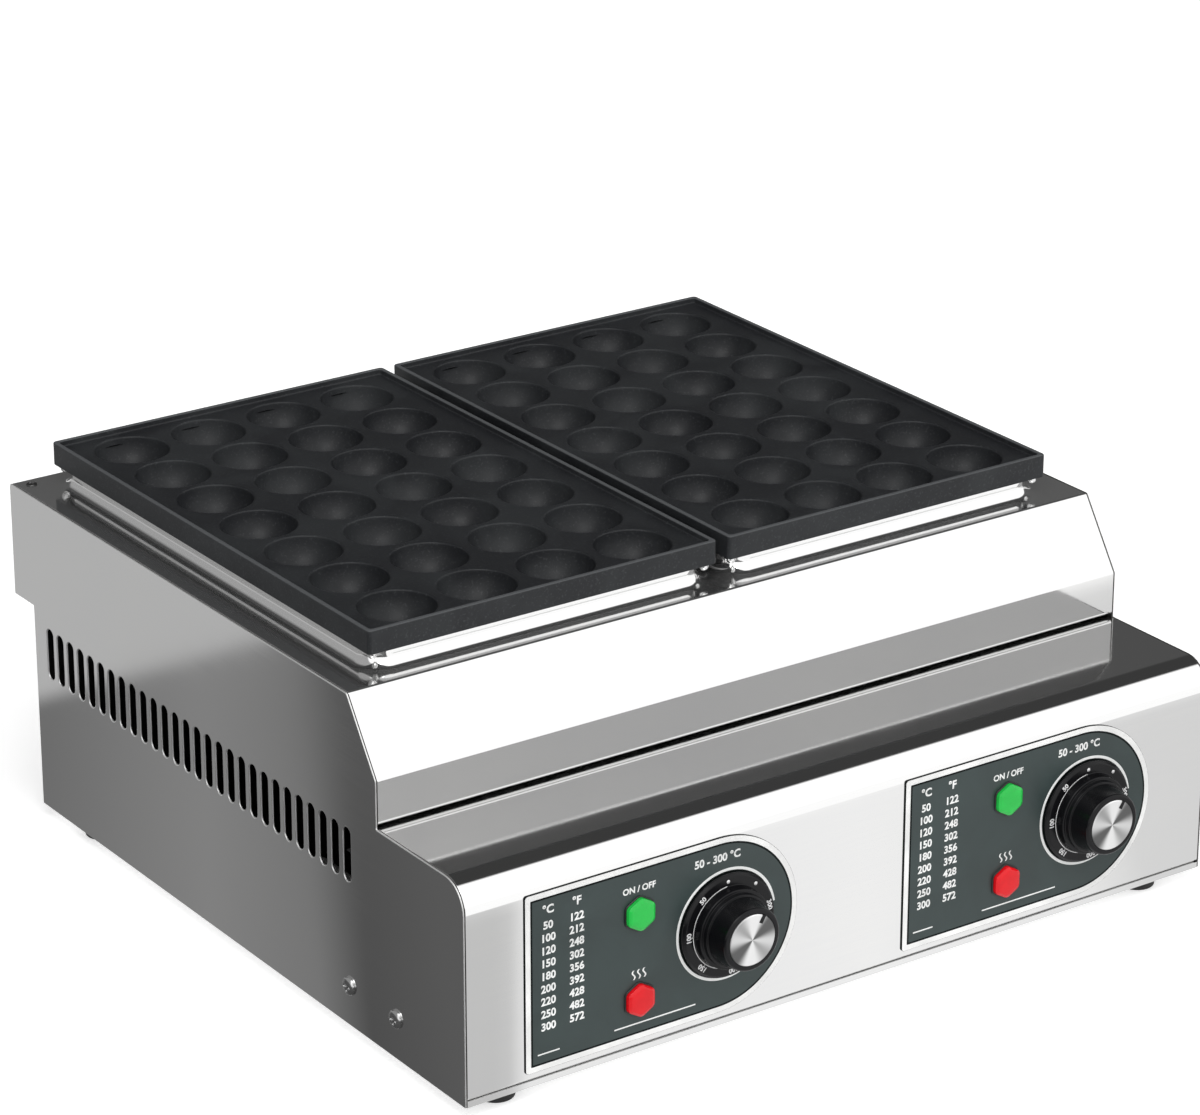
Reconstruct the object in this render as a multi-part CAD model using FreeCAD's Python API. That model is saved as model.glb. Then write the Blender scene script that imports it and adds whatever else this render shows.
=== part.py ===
"""Takoyaki maker: a countertop steel casing that carries two lift-off cast plates of cups.

All lengths are millimetres. X points right, Y points back, Z points up from the ground.
The pieces are built with Y measured back from the front panel's face. place() then moves
them so that the origin lies on the ground under the middle of the whole object.
"""
import FreeCAD, Part
import math
import os

Vector = FreeCAD.Vector

# Mould plates
cup_columns = 4
cup_rows = 7
cup_pitch_x = 44.6
cup_pitch_y = 41.5
cup_radius = 19.0
cup_rim_chamfer = 0.8
cup_wall = 2.0                # metal round a cup, where its boss leaves the web
cup_floor = 2.5               # metal under a cup
boss_knee_radius = 16.5       # where the boss turns from steep to shallow
boss_knee_depth = 13.5        # below the web's upper surface
boss_tip_radius = 7.0
boss_root = 1.0               # boss set into the web
plate_margin_x = 31.6         # plate edge to the centre of the nearest cup
plate_margin_y = 25.75
plate_gap = 7.0               # between the two plates
plate_corner = 2.0
web_thickness = 3.5
lip_height = 3.0              # lip above the web
lip_width = 2.4
lip_chamfer = 0.5
skirt_width = 2.6
skirt_clearance = 0.8         # skirt to the collar inside it
skirt_drop = 2.0              # how far the skirt hangs below the collar's top
land_height = 7.0             # web's upper surface above the collar's top
land_inside = 2.4             # seat beyond the collar's inner face
peg_radius = 2.3
peg_length = 4.0
peg_inset = 4.5               # peg centre from both plate edges
peg_wall = 1.9                # metal round a peg, in a solid corner of the skirt
peg_pad_clearance = 0.73      # that corner to the collar's rounded corner
peg_root = 5.0                # peg length set into the pad

# Casing
side_margin = 19.5            # plate edge to the outside of the side panel
front_margin = 11.0           # plate edge to the front of the top sheet
rear_margin = 11.0
rear_overhang = 20.0          # upper casing behind the rear panel
foot_height = 8.0
top_height = 179.0            # upper surface of the top sheet
overhang_height = 118.5       # underside of the overhang
deck_height = 119.5           # upper surface of the deck
apron_gap = 2.0               # open slit between the deck and the apron
apron_hem = 10.0
apron_setback = 72.0          # apron face behind the front panel's face
slope_foot_height = 143.5     # where the apron turns into the slope
slope_top_setback = 95.5      # where the slope turns into the top sheet
sheet = 1.2
bend = 1.0                    # inside radius of an ordinary bend
deck_bend = 14.0              # inside radius between deck and front panel
collar_height = 11.5
collar_flare = 6.0            # radius at the collar's foot
flange_width = 12.0
pan_hem = 3.0                 # height of the base pan's folded front and rear edges
pan_hem_depth = 6.0
pan_wall_height = 32.0
pan_wall_inset = 14.0         # pan wall's ends from the front and rear panels
deck_upstand = 15.0           # deck's rear edge, turned up behind the apron
upstand_clearance = 2.0
overhang_return = 12.0
cut_margin = 1.0              # how far a hole or slot is cut past the metal's faces

# Side vents
vent_count = 28
vent_width = 6.6
vent_height = 27.5
vent_pitch = 10.52
vent_front = 97.8             # centre of the first slot behind the front panel's face
vent_base = 83.2              # lower end of a slot above the ground

# Under-floor vents
floor_vent_count = 9
floor_vent_width = 5.0
floor_vent_length = 60.0
floor_vent_pitch = 18.0
floor_vent_setback = 200.0

# Heat trays and elements
tray_sheet = 1.0
tray_depth = 27.0             # under the top sheet
tray_inset = 1.0              # plate edge to the tray's inner face
tray_corner = 3.0
tray_flange_clearance = 0.7   # tray flange to the side panel's flange
tray_spacing = 0.6            # between the two trays' flanges
element_radius = 4.0
element_drop = 9.0            # element axis below the cup floors
element_end_inset = 20.0      # U-turns and fronts from the tray's wall
element_stub = 8.0            # element beyond the tray's front wall
terminal_radius = 1.6
terminal_length = 5.0
element_hole_clearance = 0.3
element_nut_radius = 8.0
element_nut_thickness = 4.0
element_nut_clearance = 0.05
bracket_thickness = 1.5
bracket_offset = 70.0         # bracket from the plate's middle
bracket_overlap = 9.0         # bracket beyond the outer tubes
bracket_slot_clearance = 0.2
bulb_radius = 3.0
bulb_length = 150.0
bulb_drop = 17.5              # bulb axis below the web's upper surface
bulb_tab_width = 12.0
capillary_radius = 1.0
capillary_hole_radius = 3.0
capillary_hole_drop = 1.0     # the capillary has begun to bend down where it leaves the tray
capillary_clearance = 2.0     # capillary above the element
capillary_margin = 9.0        # capillary from the tray's wall and from the deck's upstand
capillary_lead = 16.0         # straight run into the thermostat
capillary_low_bend = 29.0     # lower bend behind the thermostat's neck
capillary_drifts = (0.2, 0.7) # share of the way across at the upstand and the lower bend
tube_bend_share = 0.45        # part of the shorter run that an arc of a thin tube takes up

# Control panel
panel_left_edge = 32.5        # left control plate from the left side's outer face
panel_pitch = 217.3           # left control plate to right control plate
panel_width = 153.5
panel_height = 90.0
panel_base = 15.4             # lower edge above the ground
panel_corner = 1.5
panel_thickness = 0.8
panel_dial_hole = 19.0        # clears the thermostat's screw heads
dial_from_edge = 112.2        # dial axis from the control plate's left edge
dial_height = 60.5
lamp_from_edge = 62.8
power_lamp_height = 80.0
heating_lamp_height = 36.0

# Dial
shaft_radius = 3.0
shaft_clearance = 0.06        # radial, in the thermostat's bushing
shaft_flat = 0.8
bushing_radius = 5.0
bushing_reach = 0.4           # bushing beyond the front panel's face
panel_hole_clearance = 0.5
dial_lift = 1.0               # dial skirt off the control plate
skirt_radius = 26.4
skirt_thickness = 2.2
skirt_bevel = 1.2
step_radius = 20.6
step_reach = 8.4
step_taper = 0.6
shoulder_radius = 18.6
shoulder_reach = 10.6
shoulder_taper = 0.5
grip_root_radius = 17.4
grip_radius = 16.4
grip_reach = 21.6             # grip's face in front of the front panel's face
grip_bevel = 1.0
cap_radius = 13.6
cap_recess = 1.6
cap_proud = 0.4
cap_dish = 0.3
cap_rim_width = 1.4
notch_width = 2.2
notch_length = 4.2
dial_rest_angle = 30.0        # pointer clockwise from the top, at rest
shaft_reach = 17.0            # shaft's tip in front of the front panel's face
shaft_tail = 14.0             # shaft's end behind it
shaft_end_clearance = 1.0     # between that end and the bottom of its bore

# Thermostat
thermostat_width = 38.0
thermostat_height = 46.0
thermostat_depth = 30.0
thermostat_plate = 1.5
thermostat_plate_margin = 3.0
thermostat_screw_spacing = 28.0
thermostat_head_radius = 3.6
thermostat_head_height = 1.4
thermostat_corner = 3.0
thermostat_neck_radius = 3.5
thermostat_neck_length = 6.0

# Lamps
lens_across_corners = 17.0
lens_reach = 3.6
lens_bevel = 1.1
lens_turn = 30.0              # a corner of the lens points up
lamp_rim = 0.9                # dark rim round the lens
lamp_rim_reach = 0.8
lamp_body_radius = 6.0
lamp_body_length = 22.0
lamp_clip_radius = 9.0
lamp_clip_thickness = 2.0
lamp_hole_clearance = 0.2

# Fasteners
screw_radius = 2.0
screw_clearance = 0.2
pan_head_radius = 4.0
pan_head_height = 2.2
pan_head_bevel = 1.0
low_head_radius = 2.8         # screws of the top sheet
low_head_height = 1.0
screw_length = 9.0
recess_width = 1.0
recess_span = 4.4
recess_depth = 1.2
side_screw_setbacks = (57.5, 98.0)
side_screw_height = 29.0
corner_screw_inset = 8.2      # top and rear screws from the side panel's outer face
top_screw_from_rear = 8.5
rear_screw_margin = 15.0      # rear screws from the rear panel's lower and upper ends

# Inlets at the rear
gland_from_centre = 110.0
gland_height = 40.0
gland_thread_radius = 9.8
gland_hole_clearance = 0.2
gland_bore_radius = 4.5
gland_hex_radius = 13.5
gland_hex_thickness = 5.0
gland_dome_radius = 11.5
gland_mouth_radius = 7.0
gland_dome_length = 11.0
gland_shoulder_length = 5.5
gland_thread_length = 9.0
locknut_radius = 14.0
locknut_thickness = 4.0
earth_radius = 3.0
earth_length_out = 15.0
earth_length_in = 10.0
earth_nut_radius = 5.8
earth_nut_thickness = 5.0
earth_height = 40.0

# Terminal block
block_width = 66.0
block_depth = 26.0
block_height = 20.0
block_setback = 330.0         # its front face behind the front panel's face
block_poles = 6
block_pole_pitch = 10.0
block_well_radius = 3.2
block_well_depth = 8.0
block_foot = 4.0
terminal_screw_height = 4.0

# Feet
foot_top_radius = 10.0
foot_bottom_radius = 9.0
front_foot_inset = 27.0       # front feet's axes from the side faces
rear_foot_inset = 15.5        # rear feet's axes from the side faces
rear_foot_setback = 35.0      # and in front of the rear panel's face
foot_recess_radius = 5.0
foot_recess_depth = 4.0
foot_nut_radius = 4.0
foot_nut_thickness = 3.2
foot_screw_tip = 1.0          # screw beyond its nut

# Worked out from the driving dimensions
plate_width = (cup_columns - 1) * cup_pitch_x + 2 * plate_margin_x
plate_depth = (cup_rows - 1) * cup_pitch_y + 2 * plate_margin_y
body_width = 2 * plate_width + plate_gap + 2 * side_margin
half_width = body_width / 2
inner_half = half_width - sheet
total_depth = slope_top_setback + front_margin + plate_depth + rear_margin
base_depth = total_depth - rear_overhang
knob_front = -(grip_reach + cap_proud)
origin_setback = (total_depth + knob_front) / 2
apron_foot_height = deck_height + apron_gap
upstand_setback = apron_setback + apron_hem + upstand_clearance
collar_inset = skirt_width + skirt_clearance    # plate edge to the collar's outer face
land_width = skirt_clearance + sheet + land_inside
peg_pad = peg_inset + peg_wall
pad_diagonal = (peg_pad - collar_inset) * math.sqrt(2) + peg_pad_clearance
collar_corner = pad_diagonal / (math.sqrt(2) - 1)    # rounded to pass the peg's corner
collar_foot = collar_inset + plate_gap / 2
flare = min(collar_flare, collar_foot - sheet / 2)
collar_top = top_height + collar_height
web_top = collar_top + land_height
skirt_bottom = collar_top - skirt_drop
plate_front = slope_top_setback + front_margin
plate_middle = plate_front + plate_depth / 2
plate_centre = (plate_gap + plate_width) / 2
cup_bottom = web_top - cup_radius - cup_floor
element_height = cup_bottom - element_drop
tray_floor = top_height - sheet - tray_depth
tray_flange_outer = (side_margin - sheet - flange_width - tray_flange_clearance
                     + tray_inset - tray_sheet)
tray_flange_inner = (plate_gap - tray_spacing) / 2 + tray_inset - tray_sheet
bulb_height = web_top - bulb_drop
capillary_height = element_height + element_radius + capillary_radius + capillary_clearance
knob_back = -(panel_thickness + dial_lift)
front_foot_setback = flange_width + foot_nut_radius    # the nuts pass the front panel's flange
rear_screw_heights = (foot_height + pan_hem + rear_screw_margin,
                      overhang_height - rear_screw_margin)
outer_bend = bend + sheet
sides = (-1, 1)
side_names = {-1: "left", 1: "right"}


def place(shape):
    """Move a shape from front-panel coordinates to the finished object's origin."""
    moved = shape.copy()
    moved.translate(Vector(0, -origin_setback, 0))
    return moved


def save(name, shape):
    """Write one node as a STEP file."""
    place(shape).exportStep(os.path.join("parts", name + ".step"))


def box(low, high):
    """Block between two opposite corners."""
    size = [high[i] - low[i] for i in range(3)]
    return Part.makeBox(size[0], size[1], size[2], Vector(*low))


def rod(radius, start, end):
    """Round bar between two points."""
    direction = Vector(*end) - Vector(*start)
    return Part.makeCylinder(radius, direction.Length, Vector(*start), direction)


def hexagon_bar(radius, start, end, first_corner=0.0):
    """Hexagonal bar along Y, radius to its corners; first_corner is an angle in degrees."""
    corners = []
    for i in range(7):
        angle = math.radians(first_corner + 60 * i)
        offset = Vector(radius * math.cos(angle), 0, radius * math.sin(angle))
        corners.append(Vector(*start) + offset)
    face = Part.Face(Part.makePolygon(corners))
    return face.extrude(Vector(*end) - Vector(*start))


def rounded_wire(points, radii, to_space):
    """Closed wire through plane points, with a tangent arc at each point that has a radius."""
    count = len(points)
    entries = []
    for i in range(count):
        before = Vector(*points[i - 1], 0)
        here = Vector(*points[i], 0)
        after = Vector(*points[(i + 1) % count], 0)
        arriving = (here - before).normalize()
        leaving = (after - here).normalize()
        if radii[i] <= 0:
            entries.append((here, here, here))
            continue
        turn = arriving.getAngle(leaving)
        setback = radii[i] * math.tan(turn / 2)
        first = here - arriving * setback
        last = here + leaving * setback
        inward = (leaving - arriving).normalize()
        centre = here + inward * (radii[i] / math.cos(turn / 2))
        entries.append((first, centre - inward * radii[i], last))
    edges = []
    for i in range(count):
        first, middle, last = entries[i]
        if (last - first).Length > 1e-6:
            edges.append(Part.Arc(to_space(first), to_space(middle), to_space(last)).toShape())
        following = entries[(i + 1) % count][0]
        if (following - last).Length > 1e-6:
            edges.append(Part.LineSegment(to_space(last), to_space(following)).toShape())
    return Part.Wire(edges)


def across(x):
    """Map a (y, z) plane point to space at the given x."""
    return lambda p: Vector(x, p.x, p.y)


def level(z):
    """Map an (x, y) plane point to space at the given z."""
    return lambda p: Vector(p.x, p.y, z)


def upright(y):
    """Map an (x, z) plane point to space at the given y."""
    return lambda p: Vector(p.x, y, p.y)


def offset_path(path, distance):
    """Open path moved to its own left by a distance, with mitred corners."""
    count = len(path)
    normals = []
    for i in range(count - 1):
        along = Vector(path[i + 1][0] - path[i][0], path[i + 1][1] - path[i][1], 0).normalize()
        normals.append(Vector(-along.y, along.x, 0))
    moved = []
    for i in range(count):
        before = normals[max(i - 1, 0)]
        after = normals[min(i, count - 2)]
        shift = (before + after) * (distance / (1 + before.dot(after)))
        moved.append((path[i][0] + shift.x, path[i][1] + shift.y))
    return moved


def bent_outline(path, thickness, inside_radii):
    """Outline of a sheet bent along an open path, with the metal on the path's left.

    Returns the closed polygon's points and the radius at each point.
    """
    inner = offset_path(path, thickness)
    path_radii = [0.0]
    inner_radii = [0.0]
    for i in range(1, len(path) - 1):
        arriving = (path[i][0] - path[i - 1][0], path[i][1] - path[i - 1][1])
        leaving = (path[i + 1][0] - path[i][0], path[i + 1][1] - path[i][1])
        turns_left = arriving[0] * leaving[1] - arriving[1] * leaving[0] > 0
        inside = inside_radii[i - 1]
        path_radii.append(inside + thickness if turns_left else inside)
        inner_radii.append(inside if turns_left else inside + thickness)
    path_radii.append(0.0)
    inner_radii.append(0.0)
    return path + inner[::-1], path_radii + inner_radii[::-1]


def bent_sheet(path, x_low, x_high, inside_radii=None):
    """Sheet bent along a (y, z) path, reaching from x_low to x_high."""
    radii = inside_radii or [bend] * (len(path) - 2)
    points, corner_radii = bent_outline(path, sheet, radii)
    face = Part.Face(rounded_wire(points, corner_radii, across(x_low)))
    return face.extrude(Vector(x_high - x_low, 0, 0))


def rounded_block(low, high, radius):
    """Block whose four upright edges are rounded."""
    points = [(low[0], low[1]), (high[0], low[1]), (high[0], high[1]), (low[0], high[1])]
    face = Part.Face(rounded_wire(points, [radius] * 4, level(low[2])))
    return face.extrude(Vector(0, 0, high[2] - low[2]))


def revolved(profile, x, z):
    """Solid of revolution about an axis along Y through (x, z).

    The profile is a closed list of (radius, y) points.
    """
    corners = [Vector(x + radius, y, z) for radius, y in profile]
    face = Part.Face(Part.makePolygon(corners + [corners[0]]))
    return face.revolve(Vector(x, 0, z), Vector(0, 1, 0), 360)


def pan_screw(head_base, outward, length=screw_length, radius=pan_head_radius,
              height=pan_head_height):
    """Screw with a bevelled head and a cross recess; the head stands outward from head_base."""
    base = Vector(*head_base)
    out = Vector(*outward)
    head = Part.makeCylinder(radius, height, base, out)
    rim = [edge for edge in head.Edges if (edge.CenterOfMass - base).dot(out) > height / 2
           and edge.Curve.TypeId == "Part::GeomCircle"]
    head = head.makeChamfer(min(pan_head_bevel, height / 2), rim)
    shank = Part.makeCylinder(screw_radius, length, base, out * -1)
    across_one = Vector(0, 0, 1) if abs(out.z) < 0.5 else Vector(0, 1, 0)
    across_two = out.cross(across_one)
    screw = head.fuse(shank)
    top = base + out * height
    for along, wide in ((across_one, across_two), (across_two, across_one)):
        corners = []
        for a, w in ((-1, -1), (1, -1), (1, 1), (-1, 1), (-1, -1)):
            corners.append(top + along * (a * recess_span / 2) + wide * (w * recess_width / 2))
        slot = Part.Face(Part.makePolygon(corners)).extrude(out * -recess_depth)
        screw = screw.cut(slot)
    return screw


def casing_path():
    """Outer line of the upper casing in (y, z), from under the overhang round to the apron's hem."""
    return [
        (base_depth - overhang_return, overhang_height),
        (total_depth, overhang_height),
        (total_depth, top_height),
        (slope_top_setback, top_height),
        (apron_setback, slope_foot_height),
        (apron_setback, apron_foot_height),
        (apron_setback + apron_hem, apron_foot_height),
    ]


def front_path():
    """Outer line of the deck and front panel in (y, z), from the hidden upstand to the bottom."""
    return [
        (upstand_setback, deck_height + deck_upstand),
        (upstand_setback, deck_height),
        (0, deck_height),
        (0, foot_height + pan_hem),
        (flange_width, foot_height + pan_hem),
    ]


def rear_path():
    """Outer line of the rear panel in (y, z), from its bottom flange to its top flange."""
    return [
        (base_depth - flange_width, foot_height + pan_hem),
        (base_depth, foot_height + pan_hem),
        (base_depth, overhang_height),
        (base_depth - overhang_return, overhang_height),
    ]


def panel_edge(side):
    """X of a control plate's left edge; side is -1 for left, 1 for right."""
    shift = 0 if side < 0 else panel_pitch
    return -half_width + panel_left_edge + shift


def dial_axis(side):
    """X of a dial's axis."""
    return panel_edge(side) + dial_from_edge


def lamp_places(side):
    """The power and heating lamps of one side as (name, x, z)."""
    x = panel_edge(side) + lamp_from_edge
    return (("power", x, power_lamp_height), ("heating", x, heating_lamp_height))


def vent_slots(x_low, x_high):
    """All the side vents of one panel, as round-ended slots."""
    slots = []
    for i in range(vent_count):
        middle = vent_front + i * vent_pitch
        half = vent_width / 2
        points = [
            (middle - half, vent_base),
            (middle + half, vent_base),
            (middle + half, vent_base + vent_height),
            (middle - half, vent_base + vent_height),
        ]
        wire = rounded_wire(points, [half] * 4, across(x_low))
        slots.append(Part.Face(wire).extrude(Vector(x_high - x_low, 0, 0)))
    return slots


def side_panel(side):
    """Flat side with the whole profile, its vents, and flanges turned in behind the covers."""
    outer = side * half_width
    inner = side * inner_half
    low = min(outer, inner)
    high = max(outer, inner)
    points = [
        (0, foot_height),
        (base_depth, foot_height),
        (base_depth, overhang_height),
        (total_depth, overhang_height),
        (total_depth, top_height),
        (slope_top_setback, top_height),
        (apron_setback, slope_foot_height),
        (apron_setback, deck_height),
        (0, deck_height),
    ]
    radii = [0, 0, 0, outer_bend, outer_bend, outer_bend, outer_bend, 0, deck_bend + sheet]
    skin = Part.Face(rounded_wire(points, radii, across(low))).extrude(Vector(sheet, 0, 0))
    tools = vent_slots(low - cut_margin, high + cut_margin)
    for setback in side_screw_setbacks:
        start = (low - cut_margin, setback, side_screw_height)
        end = (high + cut_margin, setback, side_screw_height)
        tools.append(rod(screw_radius + screw_clearance, start, end))
    skin = skin.cut(tools)

    tip = side * (inner_half - flange_width)
    span = (min(inner, tip), max(inner, tip))
    cover = offset_path(casing_path(), sheet)
    top_flange = [
        (cover[1][0], cover[1][1] + flange_width),
        cover[2],
        cover[3],
        cover[4],
        (cover[5][0], cover[5][1] + apron_hem),
    ]
    front = offset_path(front_path(), sheet)
    front_flange = [
        (apron_setback - flange_width, front[2][1]),
        front[2],
        (front[3][0], front[3][1] + bend),
    ]
    rear = offset_path(rear_path(), sheet)
    rear_flange = [
        (rear[1][0], rear[1][1] + bend),
        (rear[2][0], rear[2][1] - bend),
    ]
    screw_hole_x = side * (half_width - corner_screw_inset)
    top_hole = rod(screw_radius + screw_clearance,
                   (screw_hole_x, total_depth - top_screw_from_rear, top_height - 2 * sheet - cut_margin),
                   (screw_hole_x, total_depth - top_screw_from_rear, top_height))
    flanges = [
        bent_sheet(top_flange, *span).cut(top_hole),
        bent_sheet(front_flange, *span, inside_radii=[deck_bend - sheet]),
        bent_sheet(rear_flange, *span).cut(rear_screw_holes(side)),
    ]
    return skin.fuse(flanges).removeSplitter()


def rear_screw_holes(side):
    """Clearance holes for the rear panel's screws on one side."""
    x = side * (half_width - corner_screw_inset)
    holes = []
    for height in rear_screw_heights:
        start = (x, base_depth - 2 * sheet - cut_margin, height)
        end = (x, base_depth + cut_margin, height)
        holes.append(rod(screw_radius + screw_clearance, start, end))
    return holes


def foot_places():
    """Feet as (name, x, y)."""
    front_x = half_width - front_foot_inset
    rear_x = half_width - rear_foot_inset
    rear_y = base_depth - rear_foot_setback
    return (
        ("front_left_foot", -front_x, front_foot_setback),
        ("front_right_foot", front_x, front_foot_setback),
        ("rear_left_foot", -rear_x, rear_y),
        ("rear_right_foot", rear_x, rear_y),
    )


def base_pan():
    """Floor of the casing, with folded front and rear edges and side walls turned up."""
    floor_top = foot_height + sheet
    pan = box((-inner_half, 0, foot_height), (inner_half, base_depth, floor_top))
    hem_top = foot_height + pan_hem
    front_hem = box((-inner_half, 0, foot_height), (inner_half, pan_hem_depth, hem_top))
    rear_hem = box((-inner_half, base_depth - pan_hem_depth, foot_height),
                   (inner_half, base_depth, hem_top))
    walls = []
    for side in sides:
        inside = side * (inner_half - sheet)
        outside = side * inner_half
        walls.append(box((min(inside, outside), pan_wall_inset, foot_height),
                         (max(inside, outside), base_depth - pan_wall_inset,
                          foot_height + pan_wall_height)))
    pan = pan.fuse([front_hem, rear_hem] + walls).removeSplitter()
    tools = []
    for _, x, y in foot_places():
        tools.append(rod(screw_radius + screw_clearance, (x, y, 0), (x, y, hem_top)))
    for setback in side_screw_setbacks:
        reach = half_width
        tools.append(rod(screw_radius + screw_clearance, (-reach, setback, side_screw_height),
                         (reach, setback, side_screw_height)))
    for side in sides:
        for i in range(floor_vent_count):
            middle = side * plate_centre + (i - (floor_vent_count - 1) / 2) * floor_vent_pitch
            low = (middle - floor_vent_width / 2, floor_vent_setback, 0)
            high = (middle + floor_vent_width / 2, floor_vent_setback + floor_vent_length, hem_top)
            tools.append(rounded_block(low, high, floor_vent_width / 2))
    return pan.cut(tools)


def collar_ring(centre_x):
    """Collar drawn up from the top sheet under one plate, with a flared foot."""
    half_x = plate_width / 2 - collar_inset
    half_y = plate_depth / 2 - collar_inset
    path = [(collar_foot, top_height), (0, top_height), (0, collar_top)]
    points, radii = bent_outline(path, sheet, [flare])
    pieces = []
    straight_x = 2 * (half_x - collar_corner)
    straight_y = 2 * (half_y - collar_corner)
    wire = rounded_wire(points, radii, lambda p: Vector(collar_corner + p.x, 0, p.y))
    profile = Part.Face(wire)
    corner = profile.revolve(Vector(0, 0, 0), Vector(0, 0, 1), 90)
    for quarter in range(4):
        long_side = straight_y if quarter % 2 == 0 else straight_x
        rail = profile.extrude(Vector(0, -long_side, 0))
        turned_corner = corner.copy()
        signs = ((1, 1), (-1, 1), (-1, -1), (1, -1))[quarter]
        for piece in (rail, turned_corner):
            piece.rotate(Vector(0, 0, 0), Vector(0, 0, 1), 90 * quarter)
            piece.translate(Vector(centre_x + signs[0] * straight_x / 2,
                                   plate_middle + signs[1] * straight_y / 2, 0))
            pieces.append(piece)
    return pieces[0].fuse(pieces[1:])


def top_housing():
    """Upper casing in one bent sheet: overhang, top, slope and apron, with two drawn collars."""
    bends = [bend] * 5
    shell = bent_sheet(casing_path(), -inner_half, inner_half, bends)
    opening_reach = (flare + collar_foot) / 2
    openings = []
    collars = []
    for side in sides:
        centre = side * plate_centre
        half_x = plate_width / 2 - collar_inset + opening_reach
        half_y = plate_depth / 2 - collar_inset + opening_reach
        openings.append(rounded_block(
            (centre - half_x, plate_middle - half_y, top_height - sheet - cut_margin),
            (centre + half_x, plate_middle + half_y, top_height + cut_margin),
            collar_corner + opening_reach))
        collars.append(collar_ring(centre))
        x = side * (half_width - corner_screw_inset)
        y = total_depth - top_screw_from_rear
        openings.append(rod(screw_radius + screw_clearance, (x, y, top_height - sheet - cut_margin),
                            (x, y, top_height + cut_margin)))
    return shell.cut(openings).fuse(collars).removeSplitter()


def front_panel():
    """Deck and front panel in one bent sheet, pierced for the dials and lamps."""
    bends = [bend, deck_bend, bend]
    panel = bent_sheet(front_path(), -inner_half, inner_half, bends)
    tools = []
    for side in sides:
        x = dial_axis(side)
        hole = bushing_radius + panel_hole_clearance
        tools.append(rod(hole, (x, -cut_margin, dial_height), (x, sheet + cut_margin, dial_height)))
        for offset in (-thermostat_screw_spacing / 2, thermostat_screw_spacing / 2):
            tools.append(rod(screw_radius + screw_clearance, (x + offset, -cut_margin, dial_height),
                             (x + offset, sheet + cut_margin, dial_height)))
        for _, lamp_x, lamp_z in lamp_places(side):
            tools.append(rod(lamp_body_radius + lamp_hole_clearance, (lamp_x, -cut_margin, lamp_z),
                             (lamp_x, sheet + cut_margin, lamp_z)))
    return panel.cut(tools)


def rear_panel():
    """Rear of the lower casing, pierced for the cable glands, earth stud and screws."""
    panel = bent_sheet(rear_path(), -inner_half, inner_half)
    tools = []
    for side in sides:
        x = side * gland_from_centre
        hole = gland_thread_radius + gland_hole_clearance
        tools.append(rod(hole, (x, base_depth - sheet - cut_margin, gland_height),
                         (x, base_depth + cut_margin, gland_height)))
        tools.extend(rear_screw_holes(side))
    tools.append(rod(earth_radius + screw_clearance,
                     (0, base_depth - sheet - cut_margin, earth_height),
                     (0, base_depth + cut_margin, earth_height)))
    return panel.cut(tools)


def element_columns(centre_x):
    """X of each straight tube of a heating element: one under every column of cups."""
    return [centre_x + (i - (cup_columns - 1) / 2) * cup_pitch_x for i in range(cup_columns)]


def heat_tray(side):
    """Reflector pan hung under one well, with a flange against the top sheet."""
    centre = side * plate_centre
    half_x = plate_width / 2 - tray_inset
    half_y = plate_depth / 2 - tray_inset
    top = top_height - sheet
    wall = tray_sheet
    outside = rounded_block(
        (centre - half_x - wall, plate_middle - half_y - wall, tray_floor - wall),
        (centre + half_x + wall, plate_middle + half_y + wall, top), tray_corner + wall)
    left = tray_flange_outer if side < 0 else tray_flange_inner
    right = tray_flange_inner if side < 0 else tray_flange_outer
    flange = box(
        (centre - half_x - wall - left, plate_middle - half_y - wall - tray_flange_outer, top - wall),
        (centre + half_x + wall + right, plate_middle + half_y + wall + tray_flange_outer, top))
    inside = rounded_block(
        (centre - half_x, plate_middle - half_y, tray_floor),
        (centre + half_x, plate_middle + half_y, top), tray_corner)
    tray = outside.fuse(flange).removeSplitter().cut(inside)
    columns = element_columns(centre)
    inner_face = plate_middle - half_y
    start = inner_face - wall - cut_margin
    end = inner_face + cut_margin
    tools = []
    for x in (columns[0], columns[-1]):
        tools.append(rod(element_radius + element_hole_clearance,
                         (x, start, element_height), (x, end, element_height)))
    hole_height = capillary_height - capillary_hole_drop
    tools.append(rod(capillary_hole_radius,
                     (centre, start, hole_height), (centre, end, hole_height)))
    return tray.cut(tools)


def heating_element(side):
    """Tubular element bent back and forth under the columns of cups, ends out at the front."""
    centre = side * plate_centre
    columns = element_columns(centre)
    turn = cup_pitch_x / 2
    wall_front = plate_front + tray_inset
    rear_turn = plate_front + plate_depth - element_end_inset - turn
    front_turn = plate_front + element_end_inset + turn
    pieces = []
    for i, x in enumerate(columns):
        is_end = i in (0, len(columns) - 1)
        front = wall_front - tray_sheet - element_stub if is_end else front_turn
        pieces.append(rod(element_radius, (x, front, element_height), (x, rear_turn, element_height)))
        if is_end:
            pieces.append(rod(terminal_radius, (x, front - terminal_length, element_height),
                              (x, front, element_height)))
    for i in range(len(columns) - 1):
        at_rear = i % 2 == 0
        y = rear_turn if at_rear else front_turn
        bow = Part.makeTorus(turn, element_radius, Vector(0, 0, 0), Vector(0, 0, 1), -180, 180, 180)
        if not at_rear:
            bow.rotate(Vector(0, 0, 0), Vector(0, 0, 1), 180)
        bow.translate(Vector(columns[i] + turn, y, element_height))
        pieces.append(bow)
    return pieces[0].fuse(pieces[1:]).removeSplitter()


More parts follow.
